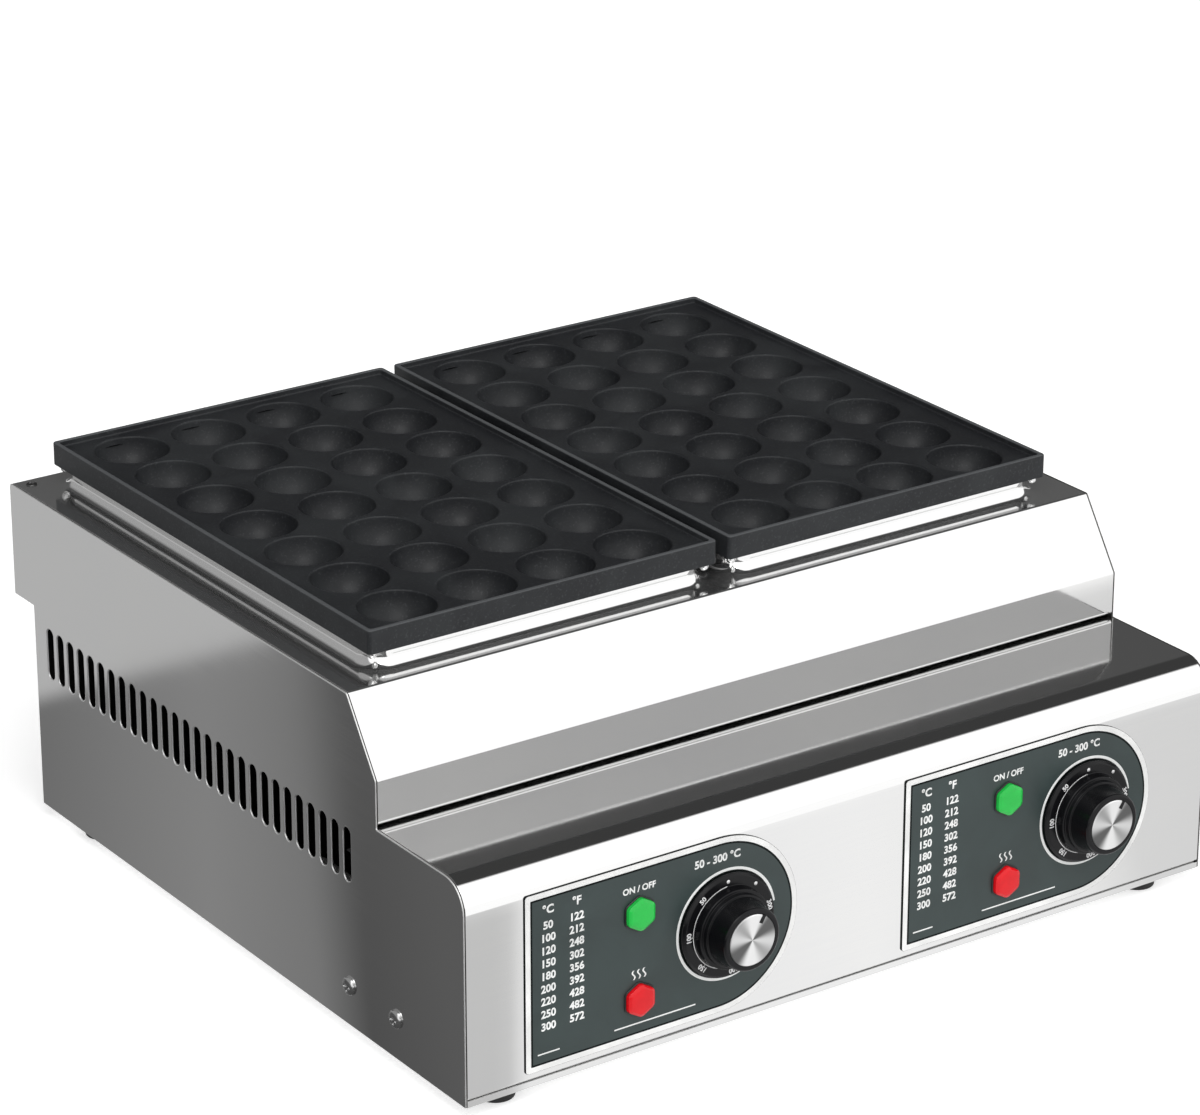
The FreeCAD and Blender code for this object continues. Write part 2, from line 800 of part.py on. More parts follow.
def element_nuts():
    """Hexagonal gland nuts that hold the elements' ends in the trays' front walls."""
    nuts = []
    for side in sides:
        columns = element_columns(side * plate_centre)
        back = plate_front + tray_inset - tray_sheet
        for x in (columns[0], columns[-1]):
            start = (x, back - element_nut_thickness, element_height)
            nut = hexagon_bar(element_nut_radius, start, (x, back, element_height))
            bore = rod(element_radius + element_nut_clearance, start, (x, back, element_height))
            nuts.append(nut.cut(bore))
    return Part.makeCompound(nuts)


def element_brackets(side):
    """Two slotted strips that stand on the tray's floor and carry the element and the bulb."""
    centre = side * plate_centre
    columns = element_columns(centre)
    slot = element_radius + bracket_slot_clearance
    strips = []
    for offset in (-bracket_offset, bracket_offset):
        y = plate_middle + offset
        back = y + bracket_thickness
        strip = box((columns[0] - bracket_overlap, y, tray_floor),
                    (columns[-1] + bracket_overlap, back, element_height))
        tab = box((centre - bulb_tab_width / 2, y, tray_floor),
                  (centre + bulb_tab_width / 2, back, bulb_height))
        tools = []
        for x in columns:
            tools.append(box((x - slot, y, element_height - element_radius),
                             (x + slot, back, element_height)))
        tools.append(box((centre - bulb_radius - bracket_slot_clearance, y,
                          bulb_height - bulb_radius),
                         (centre + bulb_radius + bracket_slot_clearance, back, bulb_height)))
        strips.append(strip.fuse(tab).removeSplitter().cut(tools))
    return Part.makeCompound(strips)


def tube_along(points, radius):
    """Round tube along straight runs joined by tangent arcs, as large as the runs allow."""
    corners = [Vector(*point) for point in points]
    edges = []
    start = corners[0]
    for i in range(1, len(corners) - 1):
        arriving = corners[i] - corners[i - 1]
        leaving = corners[i + 1] - corners[i]
        shorter = min(arriving.Length, leaving.Length)
        arriving.normalize()
        leaving.normalize()
        turn = arriving.getAngle(leaving)
        setback = tube_bend_share * shorter
        arc_radius = setback / math.tan(turn / 2)
        inward = (leaving - arriving).normalize()
        first = corners[i] - arriving * setback
        last = corners[i] + leaving * setback
        middle = corners[i] + inward * (arc_radius / math.cos(turn / 2) - arc_radius)
        edges.append(Part.LineSegment(start, first).toShape())
        edges.append(Part.Arc(first, middle, last).toShape())
        start = last
    edges.append(Part.LineSegment(start, corners[-1]).toShape())
    path = Part.Wire(edges)
    circle = Part.Circle(corners[0], corners[1] - corners[0], radius).toShape()
    return path.makePipeShell([Part.Wire(circle)], True, False)


def capillary(side):
    """Sensing bulb under the cups and its capillary down to the back of the thermostat.

    The capillary passes over the element and leaves through the tray's front wall.
    """
    centre = side * plate_centre
    x = dial_axis(side)
    bulb_front = plate_middle - bulb_length / 2
    wall = plate_front + tray_inset
    back = sheet + thermostat_plate + thermostat_depth + thermostat_neck_length
    bulb = rod(bulb_radius, (centre, bulb_front, bulb_height),
               (centre, bulb_front + bulb_length, bulb_height))
    run = (bulb_front - wall) / 3
    drift = x - centre
    points = [
        (centre, bulb_front, bulb_height),
        (centre, bulb_front - run, bulb_height),
        (centre, wall + run, capillary_height),
        (centre, wall - capillary_margin, capillary_height),
        (centre + drift * capillary_drifts[0], upstand_setback + sheet + capillary_margin,
         deck_height),
        (centre + drift * capillary_drifts[1], back + capillary_low_bend,
         (deck_height + dial_height) / 2),
        (x, back + capillary_lead, dial_height),
        (x, back, dial_height),
    ]
    return bulb.fuse(tube_along(points, capillary_radius)).removeSplitter()


def thermostat(side):
    """Thermostat: fixing plate, moulded body, bushing through the panel and capillary neck."""
    x = dial_axis(side)
    half_w = thermostat_width / 2
    half_h = thermostat_height / 2
    margin = thermostat_plate_margin
    z = dial_height
    plate_back = sheet + thermostat_plate
    plate = box((x - half_w - margin, sheet, z - half_h + margin),
                (x + half_w + margin, plate_back, z + half_h - margin))
    corners = [(x - half_w, z - half_h), (x + half_w, z - half_h),
               (x + half_w, z + half_h), (x - half_w, z + half_h)]
    face = Part.Face(rounded_wire(corners, [thermostat_corner] * 4, upright(plate_back)))
    body = face.extrude(Vector(0, thermostat_depth, 0))
    back = plate_back + thermostat_depth
    neck = rod(thermostat_neck_radius, (x, back, z), (x, back + thermostat_neck_length, z))
    bushing = rod(bushing_radius, (x, -bushing_reach, z), (x, plate_back, z))
    whole = plate.fuse([body, neck, bushing]).removeSplitter()
    tools = [rod(shaft_radius + shaft_clearance, (x, -bushing_reach, z),
                 (x, shaft_tail + shaft_end_clearance, z))]
    for offset in (-thermostat_screw_spacing / 2, thermostat_screw_spacing / 2):
        tools.append(rod(screw_radius, (x + offset, 0, z), (x + offset, screw_length, z)))
    return whole.cut(tools)


def thermostat_screws():
    """Screws that hold the thermostats to the front panel; the dials hide them."""
    screws = []
    for side in sides:
        for offset in (-thermostat_screw_spacing / 2, thermostat_screw_spacing / 2):
            x = dial_axis(side) + offset
            start = (x, -thermostat_head_height, dial_height)
            head = rod(thermostat_head_radius, start, (x, 0, dial_height))
            shank = rod(screw_radius, (x, 0, dial_height), (x, screw_length, dial_height))
            screws.append(head.fuse(shank))
    return Part.makeCompound(screws)


def turned_with_dial(shape, side):
    """Turn a piece of the dial from pointing up to its rest angle, clockwise from the front."""
    turned = shape.copy()
    turned.rotate(Vector(dial_axis(side), 0, dial_height), Vector(0, 1, 0), dial_rest_angle)
    return turned


def dial_shaft(side):
    """Thermostat shaft with a flat for the knob."""
    x = dial_axis(side)
    shaft = rod(shaft_radius, (x, -shaft_reach, dial_height), (x, shaft_tail, dial_height))
    flat = box((x - shaft_radius, -shaft_reach, dial_height + shaft_radius - shaft_flat),
               (x + shaft_radius, knob_back, dial_height + shaft_radius))
    return turned_with_dial(shaft.cut(flat), side)


def pointer_notch(x):
    """Radial bar at the cap's upper edge: the cap is cut by it and the knob fills it."""
    face = -grip_reach
    return box((x - notch_width / 2, face - cap_proud, dial_height + cap_radius - notch_length),
               (x + notch_width / 2, face + cap_recess, dial_height + cap_radius + cut_margin))


def knob(side):
    """Stepped moulded dial: flat skirt for the figures, two steps and a tapered grip."""
    x = dial_axis(side)
    front = -grip_reach
    profile = [
        (0, knob_back),
        (skirt_radius, knob_back),
        (skirt_radius, knob_back - skirt_thickness + skirt_bevel),
        (skirt_radius - skirt_bevel, knob_back - skirt_thickness),
        (step_radius, knob_back - skirt_thickness),
        (step_radius - step_taper, -step_reach),
        (shoulder_radius, -step_reach),
        (shoulder_radius - shoulder_taper, -shoulder_reach),
        (grip_root_radius, -shoulder_reach),
        (grip_radius, front + grip_bevel),
        (grip_radius - grip_bevel, front),
        (cap_radius, front),
        (cap_radius, front + cap_recess),
        (0, front + cap_recess),
    ]
    body = revolved(profile, x, dial_height)
    pointer = pointer_notch(x).common(rod(cap_radius, (x, front, dial_height),
                                          (x, front + cap_recess, dial_height)))
    body = turned_with_dial(body.fuse(pointer).removeSplitter(), side)
    return body.cut(dial_shaft(side))


def knob_cap(side):
    """Spun metal disc set into the grip's face, notched for the pointer."""
    x = dial_axis(side)
    front = -grip_reach
    profile = [
        (0, front + cap_recess),
        (cap_radius, front + cap_recess),
        (cap_radius, front - cap_proud + cap_dish),
        (cap_radius - cap_rim_width, front - cap_proud),
        (0, front - cap_proud + cap_dish),
    ]
    return turned_with_dial(revolved(profile, x, dial_height).cut(pointer_notch(x)), side)


def control_plate(side):
    """Control plate with a square left end and a round right end, pierced for dial and lamps."""
    left = panel_edge(side)
    right = left + panel_width
    top = panel_base + panel_height
    points = [(left, panel_base), (right, panel_base), (right, top), (left, top)]
    radii = [panel_corner, panel_height / 2, panel_height / 2, panel_corner]
    face = Part.Face(rounded_wire(points, radii, upright(-panel_thickness)))
    plate = face.extrude(Vector(0, panel_thickness, 0))
    x = dial_axis(side)
    tools = [rod(panel_dial_hole, (x, -panel_thickness, dial_height), (x, 0, dial_height))]
    for _, lamp_x, lamp_z in lamp_places(side):
        tools.append(rod(lamp_body_radius + lamp_hole_clearance,
                         (lamp_x, -panel_thickness, lamp_z), (lamp_x, 0, lamp_z)))
    return plate.cut(tools)


def lamp_lens(x, z):
    """Six-sided lamp lens with a bevelled face."""
    back = -panel_thickness
    radius = lens_across_corners / 2
    lens = hexagon_bar(radius, (x, back - lens_reach, z), (x, back, z), lens_turn)
    rim = [edge for edge in lens.Edges if edge.BoundBox.YMax < back - lens_reach + 0.01]
    return lens.makeChamfer(lens_bevel, rim)


def lamp_bodies(side):
    """Bodies of one side's two lamps: dark rim round the lens, barrel and clip behind the panel."""
    bodies = []
    face = -panel_thickness
    for _, x, z in lamp_places(side):
        radius = lens_across_corners / 2
        front = (x, face - lamp_rim_reach, z)
        rim = hexagon_bar(radius + lamp_rim, front, (x, face, z), lens_turn)
        rim = rim.cut(hexagon_bar(radius, front, (x, face, z), lens_turn))
        base = rod(lamp_body_radius, (x, face, z), (x, face + lamp_body_length, z))
        clip = rod(lamp_clip_radius, (x, sheet, z), (x, sheet + lamp_clip_thickness, z))
        bodies.append(base.fuse(clip).removeSplitter())
        bodies.append(rim)
    return Part.makeCompound(bodies)


def plate_cup_places(centre_x):
    """Centres of one plate's cups."""
    places = []
    for column in element_columns(centre_x):
        for row in range(cup_rows):
            places.append((column, plate_middle + (row - (cup_rows - 1) / 2) * cup_pitch_y))
    return places


def cup_boss():
    """Metal round one cup under the web, as a solid of revolution about Z at the origin."""
    root = cup_radius + cup_wall
    under_web = web_top - web_thickness
    profile = [
        (0, under_web + boss_root),
        (root, under_web + boss_root),
        (root, under_web),
        (boss_knee_radius, web_top - boss_knee_depth),
        (boss_tip_radius, cup_bottom),
        (0, cup_bottom),
    ]
    corners = [Vector(radius, 0, z) for radius, z in profile]
    face = Part.Face(Part.makePolygon(corners + [corners[0]]))
    return face.revolve(Vector(0, 0, 0), Vector(0, 0, 1), 360)


def cup_cavity():
    """Hemispherical cup with a chamfered rim, as a solid of revolution about Z at the origin."""
    chord = math.sqrt(cup_radius ** 2 - cup_rim_chamfer ** 2)
    bottom = Vector(0, 0, web_top - cup_radius)
    edge = Vector(chord, 0, web_top - cup_rim_chamfer)
    angle = math.pi / 4
    middle = Vector(cup_radius * math.cos(angle), 0, web_top - cup_radius * math.sin(angle))
    rim = Vector(cup_radius + cup_rim_chamfer, 0, web_top)
    above = Vector(cup_radius + cup_rim_chamfer, 0, web_top + cut_margin)
    axis_top = Vector(0, 0, web_top + cut_margin)
    edges = [Part.Arc(bottom, middle, edge).toShape()]
    corners = [edge, rim, above, axis_top, bottom]
    for i in range(len(corners) - 1):
        edges.append(Part.LineSegment(corners[i], corners[i + 1]).toShape())
    face = Part.Face(Part.Wire(edges))
    return face.revolve(Vector(0, 0, 0), Vector(0, 0, 1), 360)


def mould_plate(side):
    """Cast plate: lip, web with cups and their bosses, seat on the collar, skirt and peg pads."""
    centre = side * plate_centre
    half_x = plate_width / 2
    half_y = plate_depth / 2

    def inset(amount, z_low, z_high, radius):
        return rounded_block((centre - half_x + amount, plate_middle - half_y + amount, z_low),
                             (centre + half_x - amount, plate_middle + half_y - amount, z_high),
                             radius)

    lip_top = web_top + lip_height
    under_web = web_top - web_thickness
    block = inset(0, skirt_bottom, lip_top, plate_corner)
    upper = [edge for edge in block.Edges if edge.BoundBox.ZMin > lip_top - 0.01]
    block = block.makeChamfer(lip_chamfer, upper)
    recess = inset(lip_width, web_top, lip_top, plate_corner)
    seat_cut = inset(skirt_width, skirt_bottom, collar_top, collar_corner)
    hollow = inset(skirt_width + land_width, skirt_bottom, under_web, collar_corner)
    pads = []
    for sx in (-1, 1):
        for sy in (-1, 1):
            corner_x = centre + sx * half_x
            corner_y = plate_middle + sy * half_y
            near_x = corner_x - sx * peg_pad
            near_y = corner_y - sy * peg_pad
            pads.append(box((min(corner_x, near_x), min(corner_y, near_y), skirt_bottom),
                            (max(corner_x, near_x), max(corner_y, near_y), collar_top)))
    block = block.cut([recess, seat_cut.cut(pads), hollow])
    bosses = []
    cavities = []
    for x, y in plate_cup_places(centre):
        for model, copies in ((cup_boss(), bosses), (cup_cavity(), cavities)):
            model.translate(Vector(x, y, 0))
            copies.append(model)
    pegs = [peg(x, y) for x, y in peg_places(centre)]
    return block.fuse(bosses).removeSplitter().cut(cavities + pegs)


def peg_places(centre_x):
    """Centres of one plate's four corner pegs."""
    reach_x = plate_width / 2 - peg_inset
    reach_y = plate_depth / 2 - peg_inset
    return [(centre_x + sx * reach_x, plate_middle + sy * reach_y)
            for sx in (-1, 1) for sy in (-1, 1)]


def peg(x, y):
    """Round-ended pin that hangs from a plate's corner."""
    tip = skirt_bottom - peg_length + peg_radius
    pin = rod(peg_radius, (x, y, tip), (x, y, skirt_bottom + peg_root))
    return pin.fuse(Part.makeSphere(peg_radius, Vector(x, y, tip))).removeSplitter()


def plate_pegs(side):
    """The four steel pegs of one plate."""
    return Part.makeCompound([peg(x, y) for x, y in peg_places(side * plate_centre)])


def cable_gland(side):
    """Cable inlet: thread through the rear panel, hexagon and domed clamping nut."""
    x = side * gland_from_centre
    face = base_depth
    hexagon = hexagon_bar(gland_hex_radius, (x, face, gland_height),
                          (x, face + gland_hex_thickness, gland_height))
    dome_profile = [
        (0, face + gland_hex_thickness),
        (gland_dome_radius, face + gland_hex_thickness),
        (gland_dome_radius, face + gland_hex_thickness + gland_shoulder_length),
        (gland_mouth_radius, face + gland_hex_thickness + gland_dome_length),
        (0, face + gland_hex_thickness + gland_dome_length),
    ]
    dome = revolved(dome_profile, x, gland_height)
    thread = rod(gland_thread_radius, (x, face - gland_thread_length, gland_height),
                 (x, face, gland_height))
    whole = hexagon.fuse([dome, thread]).removeSplitter()
    bore = rod(gland_bore_radius, (x, face - gland_thread_length, gland_height),
               (x, face + gland_hex_thickness + gland_dome_length, gland_height))
    return whole.cut(bore)


def gland_locknuts():
    """Hexagonal nuts inside the rear panel."""
    nuts = []
    for side in sides:
        x = side * gland_from_centre
        face = base_depth - sheet
        start = (x, face - locknut_thickness, gland_height)
        end = (x, face, gland_height)
        nut = hexagon_bar(locknut_radius, start, end)
        nuts.append(nut.cut(rod(gland_thread_radius, start, end)))
    return Part.makeCompound(nuts)


def earth_stud():
    """Earth terminal through the rear panel: threaded stud with a nut on each side."""
    stud = rod(earth_radius, (0, base_depth - earth_length_in, earth_height),
               (0, base_depth + earth_length_out, earth_height))
    outer = hexagon_bar(earth_nut_radius, (0, base_depth, earth_height),
                        (0, base_depth + earth_nut_thickness, earth_height))
    inner = hexagon_bar(earth_nut_radius,
                        (0, base_depth - sheet - earth_nut_thickness, earth_height),
                        (0, base_depth - sheet, earth_height))
    return stud.fuse([outer, inner]).removeSplitter()


def terminal_block():
    """Ceramic mains terminal block on the base pan, with a screw well for each pole."""
    low_z = foot_height + sheet
    block = box((-block_width / 2, block_setback, low_z),
                (block_width / 2, block_setback + block_depth, low_z + block_height))
    step = box((-block_width / 2, block_setback, low_z + block_foot),
               (block_width / 2, block_setback + block_foot, low_z + block_height))
    tools = [step]
    for i in range(block_poles):
        x = (i - (block_poles - 1) / 2) * block_pole_pitch
        y = block_setback + block_foot + (block_depth - block_foot) / 2
        tools.append(rod(block_well_radius, (x, y, low_z + block_height - block_well_depth),
                         (x, y, low_z + block_height)))
    return block.cut(tools)


def terminal_screws():
    """Brass screws standing in the terminal block's wells."""
    floor = foot_height + sheet + block_height - block_well_depth
    screws = []
    for i in range(block_poles):
        x = (i - (block_poles - 1) / 2) * block_pole_pitch
        y = block_setback + block_foot + (block_depth - block_foot) / 2
        screws.append(rod(screw_radius, (x, y, floor), (x, y, floor + terminal_screw_height)))
    return Part.makeCompound(screws)


def foot(x, y):
    """Rubber foot: tapered, with a hole for its screw and a recess for the screw's head."""
    cone = Part.makeCone(foot_bottom_radius, foot_top_radius, foot_height, Vector(x, y, 0))
    recess = rod(foot_recess_radius, (x, y, 0), (x, y, foot_recess_depth))
    hole = rod(screw_radius, (x, y, 0), (x, y, foot_height))
    return cone.cut([recess, hole])


def foot_screws():
    """Screws up through the feet and the pan's floor."""
    top = foot_height + sheet + foot_nut_thickness + foot_screw_tip
    screws = []
    for _, x, y in foot_places():
        screws.append(pan_screw((x, y, foot_recess_depth), (0, 0, -1),
                                length=top - foot_recess_depth))
    return Part.makeCompound(screws)


def foot_nuts():
    """Nuts on the foot screws, on the pan's floor."""
    nuts = []
    low_z = foot_height + sheet
    for _, x, y in foot_places():
        corners = []
        for i in range(7):
            angle = math.radians(60 * i)
            corners.append(Vector(x + foot_nut_radius * math.cos(angle),
                                  y + foot_nut_radius * math.sin(angle), low_z))
        nut = Part.Face(Part.makePolygon(corners)).extrude(Vector(0, 0, foot_nut_thickness))
        bore = rod(screw_radius, (x, y, low_z), (x, y, low_z + foot_nut_thickness))
        nuts.append(nut.cut(bore))
    return Part.makeCompound(nuts)


def side_screws():
    """Screws through the side panels into the base pan's walls."""
    screws = []
    for side in sides:
        for setback in side_screw_setbacks:
            screws.append(pan_screw((side * half_width, setback, side_screw_height), (side, 0, 0)))
    return Part.makeCompound(screws)


def top_screws():
    """Screws at the rear corners of the top sheet."""
    screws = []
    for side in sides:
        x = side * (half_width - corner_screw_inset)
        y = total_depth - top_screw_from_rear
        screws.append(pan_screw((x, y, top_height), (0, 0, 1), radius=low_head_radius,
                                height=low_head_height))
    return Part.makeCompound(screws)


def rear_screws():
    """Screws through the rear panel into the side panels' flanges."""
    screws = []
    for side in sides:
        x = side * (half_width - corner_screw_inset)
        for height in rear_screw_heights:
            screws.append(pan_screw((x, base_depth, height), (0, 1, 0)))
    return Part.makeCompound(screws)


def main():
    """Build every node and write its STEP file."""
    os.makedirs("parts", exist_ok=True)
    save("top_housing", top_housing())
    save("front_panel", front_panel())
    save("rear_panel", rear_panel())
    save("base_pan", base_pan())
    for side in sides:
        name = side_names[side]
        save(name + "_side_panel", side_panel(side))
        save(name + "_heat_tray", heat_tray(side))
        save(name + "_heating_element", heating_element(side))
        save(name + "_element_brackets", element_brackets(side))
        save(name + "_capillary_bulb", capillary(side))
        save(name + "_thermostat", thermostat(side))
        save(name + "_dial_shaft", dial_shaft(side))
        save(name + "_knob", knob(side))
        save(name + "_knob_cap", knob_cap(side))
        save(name + "_control_plate", control_plate(side))
        for lamp, x, z in lamp_places(side):
            save(name + "_" + lamp + "_lens", lamp_lens(x, z))
        save(name + "_lamp_bodies", lamp_bodies(side))
        save(name + "_mould_plate", mould_plate(side))
        save(name + "_plate_pegs", plate_pegs(side))
        save(name + "_cable_gland", cable_gland(side))
    save("element_nuts", element_nuts())
    save("thermostat_screws", thermostat_screws())
    save("gland_locknuts", gland_locknuts())
    save("earth_stud", earth_stud())
    save("terminal_block", terminal_block())
    save("terminal_screws", terminal_screws())
    for name, x, y in foot_places():
        save(name, foot(x, y))
    save("foot_screws", foot_screws())
    save("foot_nuts", foot_nuts())
    save("side_screws", side_screws())
    save("top_screws", top_screws())
    save("rear_screws", rear_screws())


main()
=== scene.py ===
import math
import bmesh
import bpy
import numpy as np
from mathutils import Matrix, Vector
from mathutils.geometry import tessellate_polygon


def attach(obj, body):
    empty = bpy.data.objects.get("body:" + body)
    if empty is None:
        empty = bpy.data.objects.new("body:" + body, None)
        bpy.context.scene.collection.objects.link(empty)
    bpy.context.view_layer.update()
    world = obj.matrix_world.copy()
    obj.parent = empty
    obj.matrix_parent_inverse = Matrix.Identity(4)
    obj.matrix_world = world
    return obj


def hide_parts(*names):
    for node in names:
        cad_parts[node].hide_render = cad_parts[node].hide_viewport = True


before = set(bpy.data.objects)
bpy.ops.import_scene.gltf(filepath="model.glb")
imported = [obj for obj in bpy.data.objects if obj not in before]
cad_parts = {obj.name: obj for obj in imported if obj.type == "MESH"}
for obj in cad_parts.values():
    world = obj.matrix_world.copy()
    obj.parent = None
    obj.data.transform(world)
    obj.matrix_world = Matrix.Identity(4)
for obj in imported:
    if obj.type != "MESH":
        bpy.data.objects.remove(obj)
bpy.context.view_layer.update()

# Lengths are millimetres in the maker's own coordinates: Y runs back from the front panel's face.
setback = 198.0               # front panel's face ahead of the frame's origin
half_width = 220.0
sheet = 1.2
inner_half = half_width - sheet
bend = 1.0                    # inside radius of a bend
deck_bend = 14.0              # inside radius between the deck and the front panel
flange = 12.0
cut_edge = 0.25               # rounding of a sheet's cut edge
punched_edge = 0.15           # rounding of a hole's edge
base_depth = 398.0
total_depth = 418.0
foot_height = 8.0
hem_height = 11.0             # underside of the covers' bottom flanges
top_height = 179.0
slope_top = (95.5, top_height)
slope_foot = (72.0, 143.5)
apron_bottom = 120.8
apron_hem = 82.0              # how far back the apron's hem reaches
deck_height = 119.5
upstand = (84.0, 134.5)       # upper edge of the deck's upturned rear
overhang_height = 118.5
collar_inset = 3.4            # plate's edge to the collar's outer face
collar_corner = 12.0
collar_flare = 6.0
collar_top = 190.5
web_top = 197.5
web_bottom = 194.0
lip_top = 200.5
skirt_bottom = 188.5
plate_half = (98.5, 150.25)
plate_middle = 256.75
plate_centres = {"left": -102.0, "right": 102.0}
cup_radius = 19.0
cup_mouth = cup_radius + 1.5  # radius where a cup's rounded rim meets the web
boss_socket = cup_radius + 0.9
cup_columns = (-66.9, -22.3, 22.3, 66.9)
cup_rows = tuple(41.5 * (row - 3) for row in range(7))
peg_radius = 2.3
peg_inset = 4.5
panel_edges = {"left": -187.5, "right": 29.8}
panel_bottom = 15.4
panel_size = (153.5, 90.0)
panel_sheet = 0.8
dial_offset = 112.2           # dial's axis from its panel's left edge
dial_height = 60.5
dial_turn = math.radians(30)  # pointer clockwise from the top
print_layers = {"border": -0.83, "outline": -0.86, "field": -0.89, "ring": -0.915,
                "print": -0.94}
lamp_offset = 62.8
lamp_heights = {"green": 80.0, "red": 36.0}
lamp_hole = 6.2
vent_count = 28
vent_half = (3.3, 13.75)
first_vent = (97.8, 96.95)
vent_pitch = 10.52
screw_hole = 2.2
side_screw_depths = (57.5, 98.0)
side_screw_height = 29.0
rear_screw_x = (-211.8, 211.8)
rear_screw_heights = (26.0, 103.5)
top_screw_depth = 409.5
gland_x = {"left": -110.0, "right": 110.0}
gland_height = 40.0
heater_height = 167.0
feet = {"front_left": (-193, 16), "front_right": (193, 16),
        "rear_left": (-204.5, 363), "rear_right": (204.5, 363)}

# Which frame axes take a loop's first and second coordinate and the height across it.
LEVEL = (0, 1, 2)
UPRIGHT = (0, 2, 1)
SIDEWAYS = (1, 2, 0)


# ---------------------------------------------------------------- shapes

def grid_faces(rows, columns, closed=True):
    """Quads of a grid of points numbered row by row; closed joins the last column to the first."""
    row, column = np.meshgrid(np.arange(rows - 1), np.arange(columns if closed else columns - 1),
                              indexing="ij")
    beside = (column + 1) % columns
    quads = np.stack([row * columns + column, row * columns + beside,
                      (row + 1) * columns + beside, (row + 1) * columns + column], axis=-1)
    return quads.reshape(-1, 4)


def join(patches):
    """One patch (points, face groups) from several."""
    points, groups, start = [], [], 0
    for vertices, faces in patches:
        points.append(vertices)
        groups.extend(group + start for group in faces)
        start += len(vertices)
    return np.concatenate(points), groups


def moved(patch, x, y=0.0, z=0.0):
    """The patch shifted by x, y and z."""
    return patch[0] + np.array((x, y, z)), patch[1]


def mirrored(patch):
    """The patch on the other side of the middle plane: every x changes its sign."""
    return patch[0] * np.array((-1.0, 1.0, 1.0)), patch[1]


def rounded_loop(corners, radii, steps=6):
    """Closed polygon with an arc at every corner, as (points, outward normals).

    An arc's points are its centre plus radius times the normal, and the normal turns evenly
    from that of the edge before to that of the edge after. The corners run anticlockwise.
    """
    corners = np.asarray(corners, float)
    ahead = np.roll(corners, -1, axis=0) - corners
    ahead /= np.linalg.norm(ahead, axis=1)[:, None]
    points, normals = [], []
    for i, radius in enumerate(np.broadcast_to(radii, len(corners))):
        arriving, leaving = ahead[i - 1], ahead[i]
        turn = math.atan2(arriving[0] * leaving[1] - arriving[1] * leaving[0], arriving @ leaving)
        side = math.copysign(1.0, turn)
        start = corners[i] - arriving * radius * math.tan(abs(turn) / 2)
        first = math.atan2(-arriving[0], arriving[1])
        angles = first + turn * np.linspace(0, 1, steps + 1)
        outward = np.stack([np.cos(angles), np.sin(angles)], axis=1)
        points.append(start - side * radius * outward[0] + side * radius * outward)
        normals.append(outward)
    return np.concatenate(points), np.concatenate(normals)


def circle(centre, radius, steps):
    """Round loop: centre plus radius times (cos, sin), with its outward normals."""
    angles = np.linspace(0, 2 * math.pi, steps, endpoint=False)
    outward = np.stack([np.cos(angles), np.sin(angles)], axis=1)
    return np.asarray(centre, float) + radius * outward, outward


def rectangle(centre, half, radius, steps=6):
    """Rounded rectangle about a centre, given half its sides."""
    x, y = centre
    a, b = half
    return rounded_loop([(x - a, y - b), (x + a, y - b), (x + a, y + b), (x - a, y + b)],
                        radius, steps)


def raised(plane_points, height, axes):
    """Plane points put at a height across the plane, in the order of the frame's axes."""
    points = np.empty((len(plane_points), 3))
    points[:, axes[0]] = plane_points[:, 0]
    points[:, axes[1]] = plane_points[:, 1]
    points[:, axes[2]] = height
    return points


def moulding(loop, profile, axes):
    """Surface swept round a loop: each point of the loop goes out along its normal by the
    profile's first value, at the height of its second value."""
    points, normals = loop
    rows = [raised(points + normals * out, height, axes) for out, height in profile]
    return np.concatenate(rows), [grid_faces(len(rows), len(points))]


def flat(outline, holes, height, axes):
    """Plane face inside an outline, with holes, as triangles."""
    loops = [np.asarray(outline)] + [np.asarray(hole) for hole in holes]
    rings = [[Vector((x, y, 0.0)) for x, y in loop] for loop in loops]
    return (raised(np.concatenate(loops), height, axes),
            [np.array(tessellate_polygon(rings), dtype=int)])


def rounded_edge(radius, low, high, out=1.0):
    """Profile of a wall from low to high whose two edges turn inward over a quarter circle."""
    turn = np.linspace(0, math.pi / 2, 4)
    lower = [(out * radius * (math.sin(t) - 1), low + radius * (1 - math.cos(t))) for t in turn]
    upper = [(out * radius * (math.cos(t) - 1), high - radius * (1 - math.sin(t))) for t in turn]
    return lower + upper


def walls(loops, low, high, axes, edge):
    """Walls of the holes through a sheet, widening over the edge radius at both faces."""
    profile = rounded_edge(edge, low, high, out=-1.0)
    return [moulding(loop, profile, axes) for loop in loops]


def widened(loops, edge):
    """The holes' outlines on a face: each loop out by the edge radius."""
    return [points + normals * edge for points, normals in loops]


def plate(loop, holes, low, high, axes, edge):
    """Flat sheet between two heights, with holes and with every edge rounded."""
    inner = loop[0] - loop[1] * edge
    parts = [moulding(loop, rounded_edge(edge, low, high), axes)]
    parts += walls(holes, low, high, axes, edge)
    parts += [flat(inner, widened(holes, edge), height, axes) for height in (low, high)]
    return join(parts)


def offset_path(path, distance):
    """Open path moved to its left by a distance, with mitred corners."""
    path = np.asarray(path, float)
    along = np.diff(path, axis=0)
    along /= np.linalg.norm(along, axis=1)[:, None]
    normal = np.stack([-along[:, 1], along[:, 0]], axis=1)
    before = np.vstack([normal[:1], normal])
    after = np.vstack([normal, normal[-1:]])
    shift = (before + after) * (distance / (1 + (before * after).sum(axis=1)))[:, None]
    return path + shift


